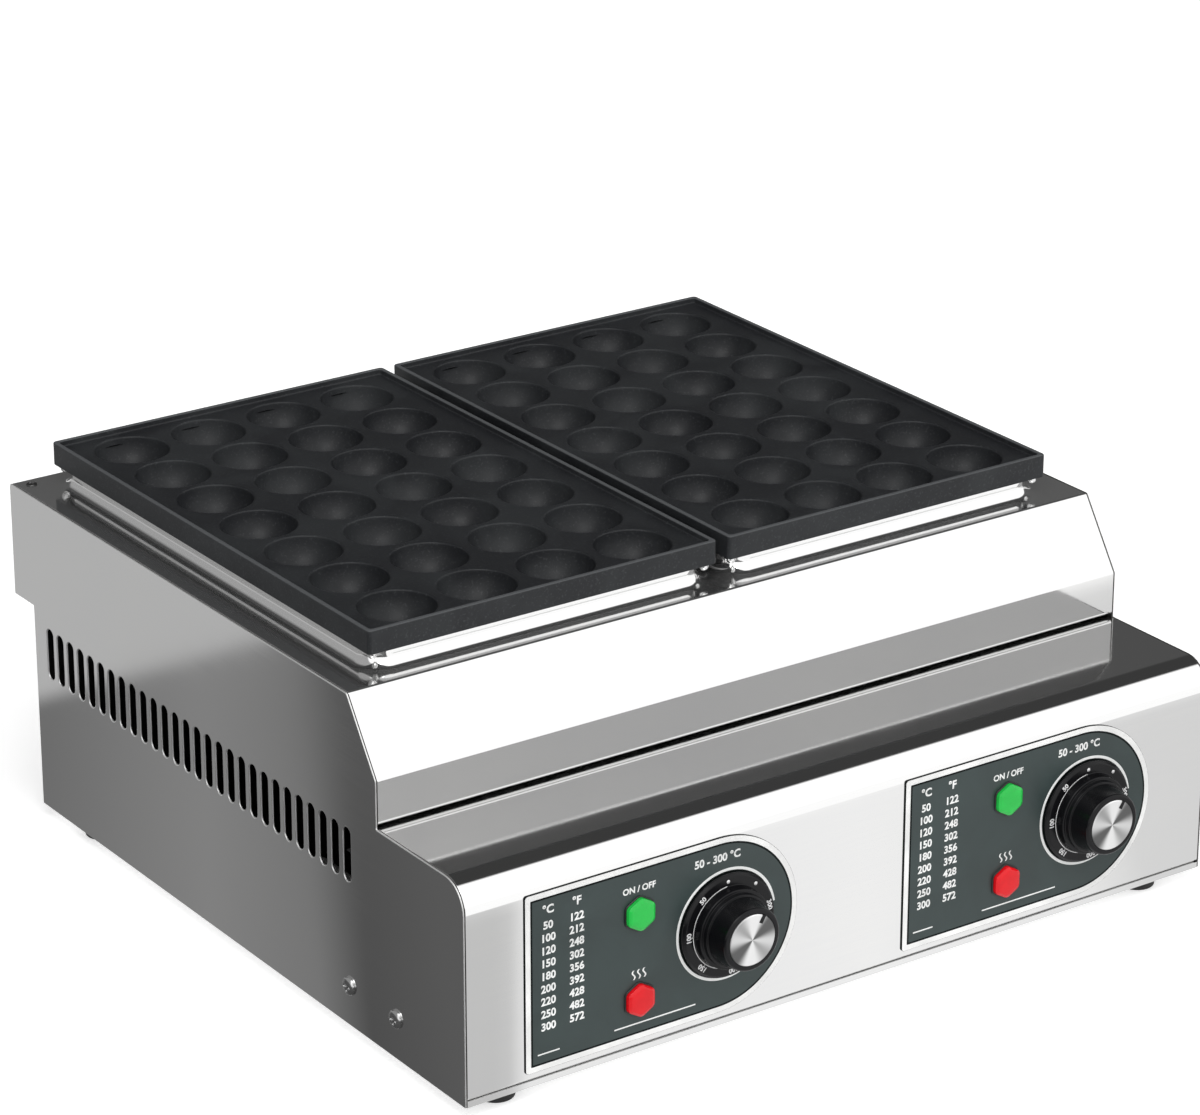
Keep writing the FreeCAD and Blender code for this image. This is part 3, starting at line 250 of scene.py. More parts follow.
def sheet_section(path, insides, steps=6):
    """Outline of a sheet bent along an open path, with the metal on the path's left."""
    edge = 0.3
    path = np.asarray(path, float)
    along = np.diff(path, axis=0)
    turns = along[:-1, 0] * along[1:, 1] - along[:-1, 1] * along[1:, 0]
    near = [inside + (sheet if turn > 0 else 0) for inside, turn in zip(insides, turns)]
    far = [inside + (0 if turn > 0 else sheet) for inside, turn in zip(insides, turns)]
    corners = np.vstack([path, offset_path(path, sheet)[::-1]])
    return rounded_loop(corners, [edge] + near + [edge, edge] + far[::-1] + [edge], steps)


def bar(loop, low, high, axes, open_sides=()):
    """Section drawn out between two heights, with rounded ends.

    open_sides names points of the loop whose long face to the next point is left out."""
    profile = rounded_edge(cut_edge, low, high)
    points, (quads,) = moulding(loop, profile, axes)
    count = len(loop[0])
    middle = len(profile) // 2 - 1
    dropped = [middle * count + side for side in open_sides]
    quads = np.delete(quads, dropped, axis=0)
    inner = loop[0] - loop[1] * cut_edge
    return join([(points, [quads])] + [flat(inner, [], height, axes) for height in (low, high)])


def long_side(loop, axis, value, length):
    """Index of the loop's point whose edge to the next lies at a value of one coordinate."""
    points = loop[0]
    following = np.roll(points, -1, axis=0)
    at_value = np.isclose(points[:, axis], value) & np.isclose(following[:, axis], value)
    lengths = np.linalg.norm(following - points, axis=1)
    return int(np.argmax(np.where(at_value & (lengths > length), lengths, -1)))


def side_span(loop, side, axis):
    """Low and high ends of one long edge along a coordinate."""
    ends = sorted((loop[0][side][axis], loop[0][(side + 1) % len(loop[0])][axis]))
    return ends[0], ends[1]


def oblong(x_span, y_span):
    """Corners of a rectangle, anticlockwise."""
    return np.array([(x_span[0], y_span[0]), (x_span[1], y_span[0]),
                     (x_span[1], y_span[1]), (x_span[0], y_span[1])])


def fillet(start, corner, end, radius, steps=5):
    """Points of a profile's arc that rounds one corner between two straight runs."""
    start, corner, end = (np.asarray(p, float) for p in (start, corner, end))
    back = (start - corner) / np.linalg.norm(start - corner)
    on = (end - corner) / np.linalg.norm(end - corner)
    opening = math.acos(np.clip(back @ on, -1, 1))
    reach = radius / math.tan(opening / 2)
    centre = corner + (back + on) / np.linalg.norm(back + on) * radius / math.sin(opening / 2)
    first, last = corner + back * reach - centre, corner + on * reach - centre
    swing = math.atan2(first[0] * last[1] - first[1] * last[0], first @ last)
    turned = []
    for t in np.linspace(0, swing, steps + 1):
        turned.append((centre[0] + first[0] * math.cos(t) - first[1] * math.sin(t),
                       centre[1] + first[0] * math.sin(t) + first[1] * math.cos(t)))
    return turned


def rounded_profile(points, radii):
    """Open profile with its inner corners rounded; a radius of 0 keeps a corner."""
    profile = [tuple(points[0])]
    for i in range(1, len(points) - 1):
        if radii[i - 1] > 0:
            profile += fillet(points[i - 1], points[i], points[i + 1], radii[i - 1])
        else:
            profile.append(tuple(points[i]))
    profile.append(tuple(points[-1]))
    return profile


def revolve(profile, centre, axes, steps):
    """Surface of revolution: a circle of radius 0 whose points go out by the profile's radius."""
    return moulding(circle(centre, 0.0, steps), profile, axes)


def facing_front(patch):
    """The patch with the corners of every face running so that it looks to the front."""
    points, groups = patch
    turned = []
    for group in groups:
        first, second, third = points[group[:, 0]], points[group[:, 1]], points[group[:, 2]]
        backwards = np.cross(second - first, third - first)[:, 1] > 0
        turned.append(np.where(backwards[:, None], group[:, ::-1], group))
    return points, turned


def tube(line, radius):
    """Round tube along a level line of points: each ring is the line's point plus the radius
    times cosine and sine along two directions square to the line. Its ends are flat."""
    steps = 20
    along = np.gradient(line, axis=0)
    along /= np.linalg.norm(along, axis=1)[:, None]
    side = np.cross(along, (0.0, 0.0, 1.0))
    side /= np.linalg.norm(side, axis=1)[:, None]
    over = np.cross(side, along)
    angles = np.linspace(0, 2 * math.pi, steps, endpoint=False)
    rings = (line[:, None, :] + radius * (np.cos(angles)[None, :, None] * side[:, None, :]
                                          + np.sin(angles)[None, :, None] * over[:, None, :]))
    points = rings.reshape(-1, 3)
    last = len(points)
    faces = [grid_faces(len(line), steps)]
    fan = np.arange(steps)
    beside = (fan + 1) % steps
    caps = np.stack([np.full(steps, last), beside, fan], axis=1)
    start = (len(line) - 1) * steps
    ends = np.stack([np.full(steps, last + 1), start + fan, start + beside], axis=1)
    return np.concatenate([points, line[:1], line[-1:]]), faces + [caps, ends]


# ---------------------------------------------------------------- pieces

def in_frame(points):
    """Maker's millimetres to the frame's metres."""
    return (np.asarray(points, float) - (0.0, setback, 0.0)) * 0.001


def add_piece(name, patch, finish, body, replaces=(), sharp=32, film=False):
    """Make one object of a patch: weld it, face it outwards, smooth it up to a sharp angle.

    A film is a flat patch that looks to the front; it is given a back and edges."""
    points, groups = facing_front(patch) if film else patch
    mesh = bpy.data.meshes.new(name)
    mesh.vertices.add(len(points))
    mesh.vertices.foreach_set("co", in_frame(points).ravel())
    corners = np.concatenate([group.ravel() for group in groups])
    sizes = np.concatenate([np.full(len(group), group.shape[1]) for group in groups])
    mesh.loops.add(len(corners))
    mesh.loops.foreach_set("vertex_index", corners)
    mesh.polygons.add(len(sizes))
    mesh.polygons.foreach_set("loop_start", np.concatenate(([0], np.cumsum(sizes)[:-1])))
    mesh.update(calc_edges=True)
    mesh.validate()
    welded = bmesh.new()
    welded.from_mesh(mesh)
    bmesh.ops.remove_doubles(welded, verts=welded.verts, dist=5e-6)
    if not film:
        bmesh.ops.recalc_face_normals(welded, faces=welded.faces)
    welded.to_mesh(mesh)
    welded.free()
    mesh.shade_smooth()
    mesh.set_sharp_from_angle(angle=math.radians(sharp))
    mesh.materials.append(finish)
    piece = bpy.data.objects.new(name, mesh)
    bpy.context.scene.collection.objects.link(piece)
    if film:
        backing = piece.modifiers.new("Backing", "SOLIDIFY")
        backing.thickness = 0.00002
    facing = piece.modifiers.new("Facing", "WEIGHTED_NORMAL")
    facing.keep_sharp = True
    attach(piece, body)
    if replaces:
        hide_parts(*replaces)
    return piece


# ---------------------------------------------------------------- materials

def add_node(tree, kind, inputs, **settings):
    """Add a node, with its inputs (name or index) set to values or linked to sockets."""
    made = tree.nodes.new(kind)
    for key, value in settings.items():
        setattr(made, key, value)
    for key, value in inputs.items():
        if isinstance(value, bpy.types.NodeSocket):
            tree.links.new(value, made.inputs[key])
        else:
            made.inputs[key].default_value = value
    return made


def math_node(tree, operation, first, second=0.0, third=0.0):
    """Result of a Math node."""
    inputs = {0: first, 1: second, 2: third}
    return add_node(tree, "ShaderNodeMath", inputs, operation=operation).outputs[0]


def mapped(tree, value, low, high, to_low=0.0, to_high=1.0, smooth=True):
    """Value carried from one range to another, clamped at both ends."""
    ends = {"Value": value, "From Min": low, "From Max": high, "To Min": to_low, "To Max": to_high}
    kind = "SMOOTHSTEP" if smooth else "LINEAR"
    return add_node(tree, "ShaderNodeMapRange", ends, interpolation_type=kind).outputs["Result"]


def mixed(tree, factor, first, second):
    """Colour between two colours or sockets."""
    return add_node(tree, "ShaderNodeMix", {0: factor, 6: first, 7: second},
                    data_type="RGBA").outputs[2]


def noise(tree, vector, scale, detail, roughness=0.55, distortion=0.0):
    """Noise value at a vector."""
    made = add_node(tree, "ShaderNodeTexNoise",
                    {"Vector": vector, "Scale": scale, "Detail": detail, "Roughness": roughness,
                     "Distortion": distortion})
    return made.outputs["Fac"]


def effect_group(name, inputs, outputs):
    """Empty node group with named inputs and outputs; returns (tree, inputs node, outputs node)."""
    tree = bpy.data.node_groups.new(name, "ShaderNodeTree")
    for label, kind, value in inputs:
        socket = tree.interface.new_socket(label, in_out="INPUT", socket_type=kind)
        if value is not None:
            socket.default_value = value
    for label, kind in outputs:
        tree.interface.new_socket(label, in_out="OUTPUT", socket_type=kind)
    return tree, tree.nodes.new("NodeGroupInput"), tree.nodes.new("NodeGroupOutput")


def grain_group():
    """Rolled grain: noise drawn out along the metal by a stretch per axis."""
    tree, given, result = effect_group(
        "Rolled grain",
        [("Position", "NodeSocketVector", None), ("Stretch", "NodeSocketVector", None)],
        [("Streaks", "NodeSocketFloat")])
    drawn = add_node(tree, "ShaderNodeVectorMath",
                     {0: given.outputs["Position"], 1: given.outputs["Stretch"]},
                     operation="MULTIPLY").outputs[0]
    streaks = noise(tree, drawn, 1.0, detail=4.0, roughness=0.7)
    tree.links.new(mapped(tree, streaks, 0.3, 0.7), result.inputs["Streaks"])
    return tree


def handling_group():
    """Handling: soft cloudy patches, such as wiped film and finger marks leave."""
    tree, given, result = effect_group(
        "Handling",
        [("Position", "NodeSocketVector", None), ("Scale", "NodeSocketFloat", 12.0)],
        [("Clouds", "NodeSocketFloat"), ("Specks", "NodeSocketFloat")])
    clouds = noise(tree, given.outputs["Position"], given.outputs["Scale"], detail=4.0,
                   distortion=0.6)
    finer = math_node(tree, "MULTIPLY", given.outputs["Scale"], 40.0)
    specks = noise(tree, given.outputs["Position"], finer, detail=2.0)
    tree.links.new(mapped(tree, clouds, 0.35, 0.68), result.inputs["Clouds"])
    tree.links.new(mapped(tree, specks, 0.55, 0.75), result.inputs["Specks"])
    return tree


def grit_group():
    """Grit: a cast or moulded skin's height, coarse swells with fine grains on them."""
    tree, given, result = effect_group(
        "Grit",
        [("Position", "NodeSocketVector", None), ("Grain", "NodeSocketFloat", 2500.0)],
        [("Height", "NodeSocketFloat")])
    grains = noise(tree, given.outputs["Position"], given.outputs["Grain"], detail=2.0)
    coarse = math_node(tree, "MULTIPLY", given.outputs["Grain"], 0.18)
    swells = noise(tree, given.outputs["Position"], coarse, detail=2.0)
    tree.links.new(math_node(tree, "MULTIPLY_ADD", swells, 0.6, grains), result.inputs["Height"])
    return tree


def inner_shade_group():
    """Painted inner shade: mask where the position's absolute value along an axis is below a limit,
    for faces inside the casing painted dark as shade.
    """
    tree, given, result = effect_group(
        "Painted inner shade",
        [("Position", "NodeSocketVector", None), ("Axis", "NodeSocketVector", None),
         ("Limit", "NodeSocketFloat", 0.0)],
        [("Within", "NodeSocketFloat")])
    size = add_node(tree, "ShaderNodeVectorMath", {0: given.outputs["Position"]},
                    operation="ABSOLUTE").outputs[0]
    along = add_node(tree, "ShaderNodeVectorMath", {0: size, 1: given.outputs["Axis"]},
                     operation="DOT_PRODUCT").outputs["Value"]
    tree.links.new(math_node(tree, "LESS_THAN", along, given.outputs["Limit"]),
                   result.inputs["Within"])
    return tree


def cut_group():
    """Cut edges: where the surface's normal leaves an axis, smoothly from 0 to 1."""
    tree, given, result = effect_group(
        "Cut edges",
        [("Normal", "NodeSocketVector", None), ("Axis", "NodeSocketVector", None)],
        [("Cut", "NodeSocketFloat")])
    facing = add_node(tree, "ShaderNodeVectorMath",
                      {0: given.outputs["Normal"], 1: given.outputs["Axis"]},
                      operation="DOT_PRODUCT").outputs["Value"]
    along = math_node(tree, "ABSOLUTE", facing)
    tree.links.new(mapped(tree, along, 0.80, 0.98, 1.0, 0.0), result.inputs["Cut"])
    return tree


GRAIN = grain_group()
HANDLING = handling_group()
GRIT = grit_group()
INNER_SHADE = inner_shade_group()
CUT = cut_group()


def use_group(tree, group, inputs):
    """Outputs of a node group placed in a material with its inputs set."""
    return add_node(tree, "ShaderNodeGroup", inputs, node_tree=group).outputs


def new_finish(name, **values):
    """Material whose shader has these values; returns (material, tree, shader, position)."""
    made = bpy.data.materials.new(name)
    made.use_nodes = True
    tree = made.node_tree
    shader = tree.nodes["Principled BSDF"]
    for key, value in values.items():
        shader.inputs[key.replace("_", " ")].default_value = value
    position = tree.nodes.new("ShaderNodeTexCoord").outputs["Object"]
    return made, tree, shader, position


def grey(value):
    """Neutral colour."""
    return (value, value, value, 1.0)


def bumped(tree, shader, height, distance, strength=1.0):
    """Give a shader the relief of a height."""
    relief = add_node(tree, "ShaderNodeBump",
                      {"Height": height, "Distance": distance, "Strength": strength})
    tree.links.new(relief.outputs["Normal"], shader.inputs["Normal"])


def steel(name, stretch, tone=0.80, rough=(0.09, 0.15), inner=(), across=None, bare=1.0):
    """Rolled stainless sheet with its grain along one axis and wiped patches.

    inner holds pairs of an axis and a limit: where the position's absolute value is below the limit
    along every axis, the metal is painted dull and dark as shade inside the casing. across is the
    axis through the sheet's thickness, where its punched edges are satin. bare is how free of haze
    the metal is."""
    made, tree, shader, position = new_finish(name, Metallic=bare)
    streaks = use_group(tree, GRAIN, {"Position": position, "Stretch": stretch})["Streaks"]
    clouds = use_group(tree, HANDLING, {"Position": position, "Scale": 9.0})["Clouds"]
    shade = math_node(tree, "MULTIPLY_ADD", streaks, 0.5, math_node(tree, "MULTIPLY", clouds, 0.5))
    colour = mixed(tree, shade, grey(tone * 0.975), (tone, tone * 0.998, tone * 0.99, 1.0))
    roughness = mapped(tree, shade, 0.0, 1.0, rough[0], rough[1], smooth=False)
    if across:
        normal = tree.nodes.new("ShaderNodeTexCoord").outputs["Normal"]
        cut = use_group(tree, CUT, {"Normal": normal, "Axis": across})["Cut"]
        roughness = mapped(tree, cut, 0.0, 1.0, roughness, 0.55, smooth=False)
    # Painted shade: faces inside the casing get a dark dull colour in place of the shade that falls
    # there.
    if inner:
        within = 1.0
        for axis, limit in inner:
            below = use_group(tree, INNER_SHADE, {"Position": position, "Axis": axis,
                                            "Limit": limit})["Within"]
            within = math_node(tree, "MULTIPLY", below, within)
        colour = mixed(tree, within, colour, (0.075, 0.073, 0.070, 1.0))
        roughness = mapped(tree, within, 0.0, 1.0, roughness, 0.6, smooth=False)
    tree.links.new(colour, shader.inputs["Base Color"])
    tree.links.new(roughness, shader.inputs["Roughness"])
    bumped(tree, shader, streaks, 0.0000015, 0.6)
    return made


def moulded(name, colour, roughness, grain=2500.0, depth=0.00002, coat=0.0, gloss=0.5):
    """Moulded or cast skin with a fine grit."""
    made, tree, shader, position = new_finish(name, Coat_Weight=coat, Coat_Roughness=0.08,
                                              Specular_IOR_Level=gloss)
    grit = use_group(tree, GRIT, {"Position": position, "Grain": grain})["Height"]
    clouds = use_group(tree, HANDLING, {"Position": position, "Scale": 30.0})["Clouds"]
    darker = tuple(channel * 0.82 for channel in colour[:3]) + (1.0,)
    tree.links.new(mixed(tree, clouds, darker, colour), shader.inputs["Base Color"])
    tree.links.new(mapped(tree, clouds, 0.0, 1.0, roughness * 0.88, roughness * 1.12, smooth=False),
                   shader.inputs["Roughness"])
    bumped(tree, shader, grit, depth)
    return made


def plain_metal(name, colour, rough, stained):
    """Turned or drawn metal, with stained patches of a second colour."""
    made, tree, shader, position = new_finish(name, Metallic=1.0)
    marks = use_group(tree, HANDLING, {"Position": position, "Scale": 45.0})
    tree.links.new(mixed(tree, marks["Clouds"], stained, colour), shader.inputs["Base Color"])
    tree.links.new(mapped(tree, marks["Specks"], 0.0, 1.0, rough, rough * 1.5, smooth=False),
                   shader.inputs["Roughness"])
    bumped(tree, shader, marks["Specks"], 0.00001, 0.5)
    return made


def release_coating():
    """Dark coating on the cast plates: cast grit, faint specks and a painted highlight along the
    lip's top edge.
    """
    made, tree, shader, position = new_finish("Release coating", Specular_IOR_Level=0.22)
    grit = use_group(tree, GRIT, {"Position": position, "Grain": 1500.0})["Height"]
    marks = use_group(tree, HANDLING, {"Position": position, "Scale": 22.0})
    body = mixed(tree, marks["Clouds"], (0.016, 0.017, 0.019, 1.0), (0.026, 0.028, 0.030, 1.0))
    body = mixed(tree, math_node(tree, "MULTIPLY", marks["Specks"], 0.35), body,
                 (0.075, 0.078, 0.082, 1.0))
    # Painted highlight: the colour turns paler over the top 0.6 mm of the lip, standing in for the
    # light its edge catches.
    height = add_node(tree, "ShaderNodeSeparateXYZ", {"Vector": position}).outputs["Z"]
    crest = mapped(tree, height, lip_top * 0.001 - 0.0006, lip_top * 0.001)
    body = mixed(tree, math_node(tree, "MULTIPLY", crest, 0.8), body, (0.11, 0.115, 0.12, 1.0))
    tree.links.new(body, shader.inputs["Base Color"])
    tree.links.new(mapped(tree, marks["Clouds"], 0.0, 1.0, 0.38, 0.50, smooth=False),
                   shader.inputs["Roughness"])
    bumped(tree, shader, grit, 0.00005)
    return made


def lens_finish(name, colour, glow):
    """Coloured lens: clear moulding with a soft inner glow and fine grains under its face."""
    made, tree, shader, position = new_finish(name, Roughness=0.18, Specular_IOR_Level=0.35)
    clouds = use_group(tree, HANDLING, {"Position": position, "Scale": 60.0})["Clouds"]
    deeper = tuple(channel * 0.88 for channel in colour[:3]) + (1.0,)
    shade = mixed(tree, clouds, deeper, colour)
    tree.links.new(shade, shader.inputs["Base Color"])
    tree.links.new(shade, shader.inputs["Emission Color"])
    shader.inputs["Emission Strength"].default_value = glow
    grit = use_group(tree, GRIT, {"Position": position, "Grain": 900.0})["Height"]
    bumped(tree, shader, grit, 0.00002)
    return made


def spun_metal(name, centre_x):
    """Turned disc: a highlight drawn out across the fine rings round its axis, and painted
    highlight fans: the base colour swings between dark and pale with the angle about the axis."""
    made, tree, shader, position = new_finish(name, Metallic=1.0, Anisotropic=0.85,
                                              Roughness=0.30)
    centre = in_frame((centre_x, 0.0, dial_height))
    away = add_node(tree, "ShaderNodeVectorMath", {0: position, 1: (centre[0], 0.0, centre[2])},
                    operation="SUBTRACT").outputs[0]
    around = add_node(tree, "ShaderNodeVectorMath", {0: (0.0, 1.0, 0.0), 1: away},
                      operation="CROSS_PRODUCT").outputs[0]
    around = add_node(tree, "ShaderNodeVectorMath", {0: around}, operation="NORMALIZE").outputs[0]
    tree.links.new(around, shader.inputs["Tangent"])
    axes = add_node(tree, "ShaderNodeSeparateXYZ", {"Vector": away}).outputs
    # Painted highlight: base colour in dark and pale fans by the angle about the axis, standing in
    # for the disc's reflections.
    angle = math_node(tree, "ARCTAN2", axes["X"], axes["Z"])
    swing = math_node(tree, "SINE", math_node(tree, "MULTIPLY_ADD", angle, 4.0, 0.9))
    broad = math_node(tree, "SINE", math_node(tree, "MULTIPLY_ADD", angle, 2.0, 2.1))
    fan = math_node(tree, "MULTIPLY_ADD", swing, 0.5, math_node(tree, "MULTIPLY", broad, 0.5))
    tree.links.new(mixed(tree, mapped(tree, fan, -0.8, 0.8), grey(0.12), grey(0.86)),
                   shader.inputs["Base Color"])
    reach = add_node(tree, "ShaderNodeVectorMath", {0: away}, operation="LENGTH").outputs["Value"]
    rings = math_node(tree, "SINE", math_node(tree, "MULTIPLY", reach, 26000.0))
    bumped(tree, shader, rings, 0.000002, 0.4)
    return made


# The grain's steps per metre: few along the rolled direction, many across it.
STEEL_X = (12.0, 900.0, 900.0)
STEEL_Y = (900.0, 12.0, 900.0)
AXIS_X = (1.0, 0.0, 0.0)
AXIS_Y = (0.0, 1.0, 0.0)
DOWN = (0.0, 0.0, -1.0)
PRINTED = {"grain": 3000.0, "depth": 0.000002}
finishes = {
    "sheet": steel("Stainless sheet", STEEL_X, rough=(0.05, 0.09)),
    "cover": steel("Stainless cover", STEEL_X, rough=(0.07, 0.11), bare=0.95),
    # inner: the faces inside the casing take painted shade.
    "side": steel("Stainless side", STEEL_Y, inner=[(AXIS_X, 0.2194)], across=AXIS_X),
    "rear": steel("Stainless rear", STEEL_X, inner=[(AXIS_Y, 0.1994)]),
    "pan": steel("Stainless pan", STEEL_X,
                 inner=[(DOWN, -0.0086), (AXIS_Y, 0.1965), (AXIS_X, 0.2180)]),
    "tray": steel("Tray steel", STEEL_X, tone=0.34, rough=(0.42, 0.55)),
    "coating": release_coating(),
    "sheath": plain_metal("Heater sheath", (0.17, 0.165, 0.15, 1.0), 0.42,
                          (0.10, 0.085, 0.075, 1.0)),
    "screw": plain_metal("Screw steel", grey(0.72), 0.2, grey(0.55)),
    "small_screw": plain_metal("Blackened screw", grey(0.20), 0.35, grey(0.12)),
    "peg": plain_metal("Peg steel", grey(0.78), 0.18, grey(0.66)),
    "shaft": plain_metal("Shaft steel", grey(0.66), 0.25, grey(0.5)),
    "copper": plain_metal("Capillary copper", (0.72, 0.42, 0.28, 1.0), 0.3,
                          (0.42, 0.22, 0.14, 1.0)),
    "brass": plain_metal("Nut brass", (0.74, 0.56, 0.26, 1.0), 0.28, (0.52, 0.38, 0.17, 1.0)),
    "field": moulded("Panel green", (0.030, 0.046, 0.045, 1.0), 0.34, gloss=0.4, **PRINTED),
    "border": moulded("Panel white", (0.90, 0.90, 0.89, 1.0), 0.34, **PRINTED),
    "outline": moulded("Panel black", (0.006, 0.009, 0.009, 1.0), 0.34, gloss=0.08, **PRINTED),
    "ring": moulded("Printed black", (0.006, 0.008, 0.008, 1.0), 0.36, gloss=0.12, **PRINTED),
    "print": moulded("Printed white", (0.88, 0.89, 0.88, 1.0), 0.45, **PRINTED),
    "dial": moulded("Dial black", (0.004, 0.004, 0.005, 1.0), 0.24, 2200.0, 0.000008, gloss=0.22),
    "dial_print": moulded("Dial figures", grey(0.85), 0.45, **PRINTED),
    "left_disc": spun_metal("Left spun disc", panel_edges["left"] + dial_offset),
    "right_disc": spun_metal("Right spun disc", panel_edges["right"] + dial_offset),
    "green_lens": lens_finish("Green lens", (0.015, 0.44, 0.06, 1.0), 0.20),
    "red_lens": lens_finish("Red lens", (0.62, 0.003, 0.008, 1.0), 0.20),
    "lamp": moulded("Lamp black", grey(0.018), 0.4),
    "phenolic": moulded("Thermostat phenolic", (0.045, 0.030, 0.022, 1.0), 0.3, coat=0.3),
    "nylon": moulded("Gland nylon", (0.022, 0.022, 0.023, 1.0), 0.42),
    "ceramic": moulded("Terminal ceramic", (0.82, 0.80, 0.74, 1.0), 0.25, 900.0, 0.00003, 0.6),
    "rubber": moulded("Foot rubber", grey(0.016), 0.75, 1800.0, 0.00005),
}


# ---------------------------------------------------------------- casing

# Outer faces of the three bent covers, as (y, z) paths with the metal on their left.
COVER_PATH = [(base_depth - flange, overhang_height), (total_depth, overhang_height),
              (total_depth, top_height), slope_top, slope_foot, (slope_foot[0], apron_bottom),
              (apron_hem, apron_bottom)]
FRONT_PATH = [upstand, (upstand[0], deck_height), (0, deck_height), (0, hem_height),
              (flange, hem_height)]
REAR_PATH = [(base_depth - flange, hem_height), (base_depth, hem_height),
             (base_depth, overhang_height), (base_depth - flange, overhang_height)]
COVER_SPAN = (-inner_half + cut_edge, inner_half - cut_edge)


def casing_cover():
    """Upper casing: a sheet bent round overhang, back, top, slope and apron. The flat top is
    pierced by two wells, each with a collar drawn up from it over a flared foot."""
    section = sheet_section(COVER_PATH, [bend] * 5)
    outside = long_side(section, 1, top_height, 200)
    inside = long_side(section, 1, top_height - sheet, 200)
    parts = [bar(section, -inner_half, inner_half, SIDEWAYS, (outside, inside))]
    collar_half = (plate_half[0] - collar_inset, plate_half[1] - collar_inset)
    loops = [rectangle((x, plate_middle), collar_half, collar_corner, 10)
             for x in plate_centres.values()]
    flare = collar_flare
    arc = np.linspace(0, math.pi / 2, 9)
    outer = [(flare - flare * math.sin(t), top_height + flare - flare * math.cos(t)) for t in arc]
    inner_radius = flare + sheet
    inner = [(flare - inner_radius * math.sin(t), top_height + flare - inner_radius * math.cos(t))
             for t in arc]
    crest = [(0.0, collar_top - 0.5), (-0.18, collar_top - 0.15), (-0.6, collar_top),
             (-1.02, collar_top - 0.15), (-1.2, collar_top - 0.5)]
    strip = flare + 0.6
    profile = [(strip, top_height)] + outer + crest + inner[::-1] + [(strip, top_height - sheet)]
    parts += [moulding(loop, profile, LEVEL) for loop in loops]
    holes = widened(loops, strip)
    for side, height in ((outside, top_height), (inside, top_height - sheet)):
        outline = oblong(COVER_SPAN, side_span(section, side, 0))
        parts.append(flat(outline, holes, height, LEVEL))
    return join(parts)


def pierced_sheet(section, depths, loops):
    """Bent sheet whose upright run, between an outer and an inner depth, is pierced by loops."""
    faces = [long_side(section, 0, depth, 60) for depth in depths]
    parts = [bar(section, -inner_half, inner_half, SIDEWAYS, faces)]
    parts += walls(loops, min(depths), max(depths), UPRIGHT, punched_edge)
    for side, depth in zip(faces, depths):
        outline = oblong(COVER_SPAN, side_span(section, side, 1))
        parts.append(flat(outline, widened(loops, punched_edge), depth, UPRIGHT))
    return join(parts)


def front_sheet():
    """Deck and front panel in one sheet, pierced behind the dials and lamps."""
    loops = []
    for left in panel_edges.values():
        dial_x = left + dial_offset
        loops.append(circle((dial_x, dial_height), 5.5, 32))
        loops += [circle((dial_x + offset, dial_height), screw_hole, 20) for offset in (-14, 14)]
        loops += [circle((left + lamp_offset, z), lamp_hole, 32) for z in lamp_heights.values()]
    section = sheet_section(FRONT_PATH, [bend, deck_bend, bend], steps=14)
    return pierced_sheet(section, (0.0, sheet), loops)


def rear_sheet():
    """Rear panel with turned-in top and bottom flanges, pierced for glands, stud and screws."""
    loops = [circle((x, gland_height), 10.0, 48) for x in gland_x.values()]
    loops.append(circle((0, gland_height), 3.2, 24))
    loops += [circle((x, z), screw_hole, 20) for x in rear_screw_x for z in rear_screw_heights]
    section = sheet_section(REAR_PATH, [bend, bend])
    return pierced_sheet(section, (base_depth, base_depth - sheet), loops)


def side_skin():
    """Left side: the whole profile in one flat sheet with 28 round-ended vents, and the
    flanges that turn in behind the covers."""
    corners = [(0, foot_height), (base_depth, foot_height), (base_depth, overhang_height),
               (total_depth, overhang_height), (total_depth, top_height), slope_top, slope_foot,
               (slope_foot[0], deck_height), (0, deck_height)]
    outline = rounded_loop(corners, [0.6] * 4 + [2.2] * 3 + [0.6, deck_bend + sheet], 10)
    vents = [rectangle((first_vent[0] + i * vent_pitch, first_vent[1]), vent_half,
                       vent_half[0] - 0.001, 12) for i in range(vent_count)]
    holes = vents + [circle((y, side_screw_height), screw_hole, 20) for y in side_screw_depths]
    parts = [plate(outline, holes, -half_width, -inner_half, SIDEWAYS, 0.55)]
    cover, front, rear = (offset_path(path, sheet) for path in (COVER_PATH, FRONT_PATH, REAR_PATH))
    flanges = [
        ([(cover[1][0], cover[1][1] + flange), cover[2], cover[3], cover[4],
          (cover[5][0], cover[5][1] + 10)], [bend] * 3),
        ([(60, front[2][1]), front[2], (front[3][0], front[3][1] + bend)], [deck_bend - sheet]),
        ([(rear[1][0], rear[1][1] + bend), (rear[2][0], rear[2][1] - bend)], []),
    ]
    for path, insides in flanges:
        section = sheet_section(path, insides)
        parts.append(bar(section, -inner_half, -inner_half + flange, SIDEWAYS))
    return join(parts)


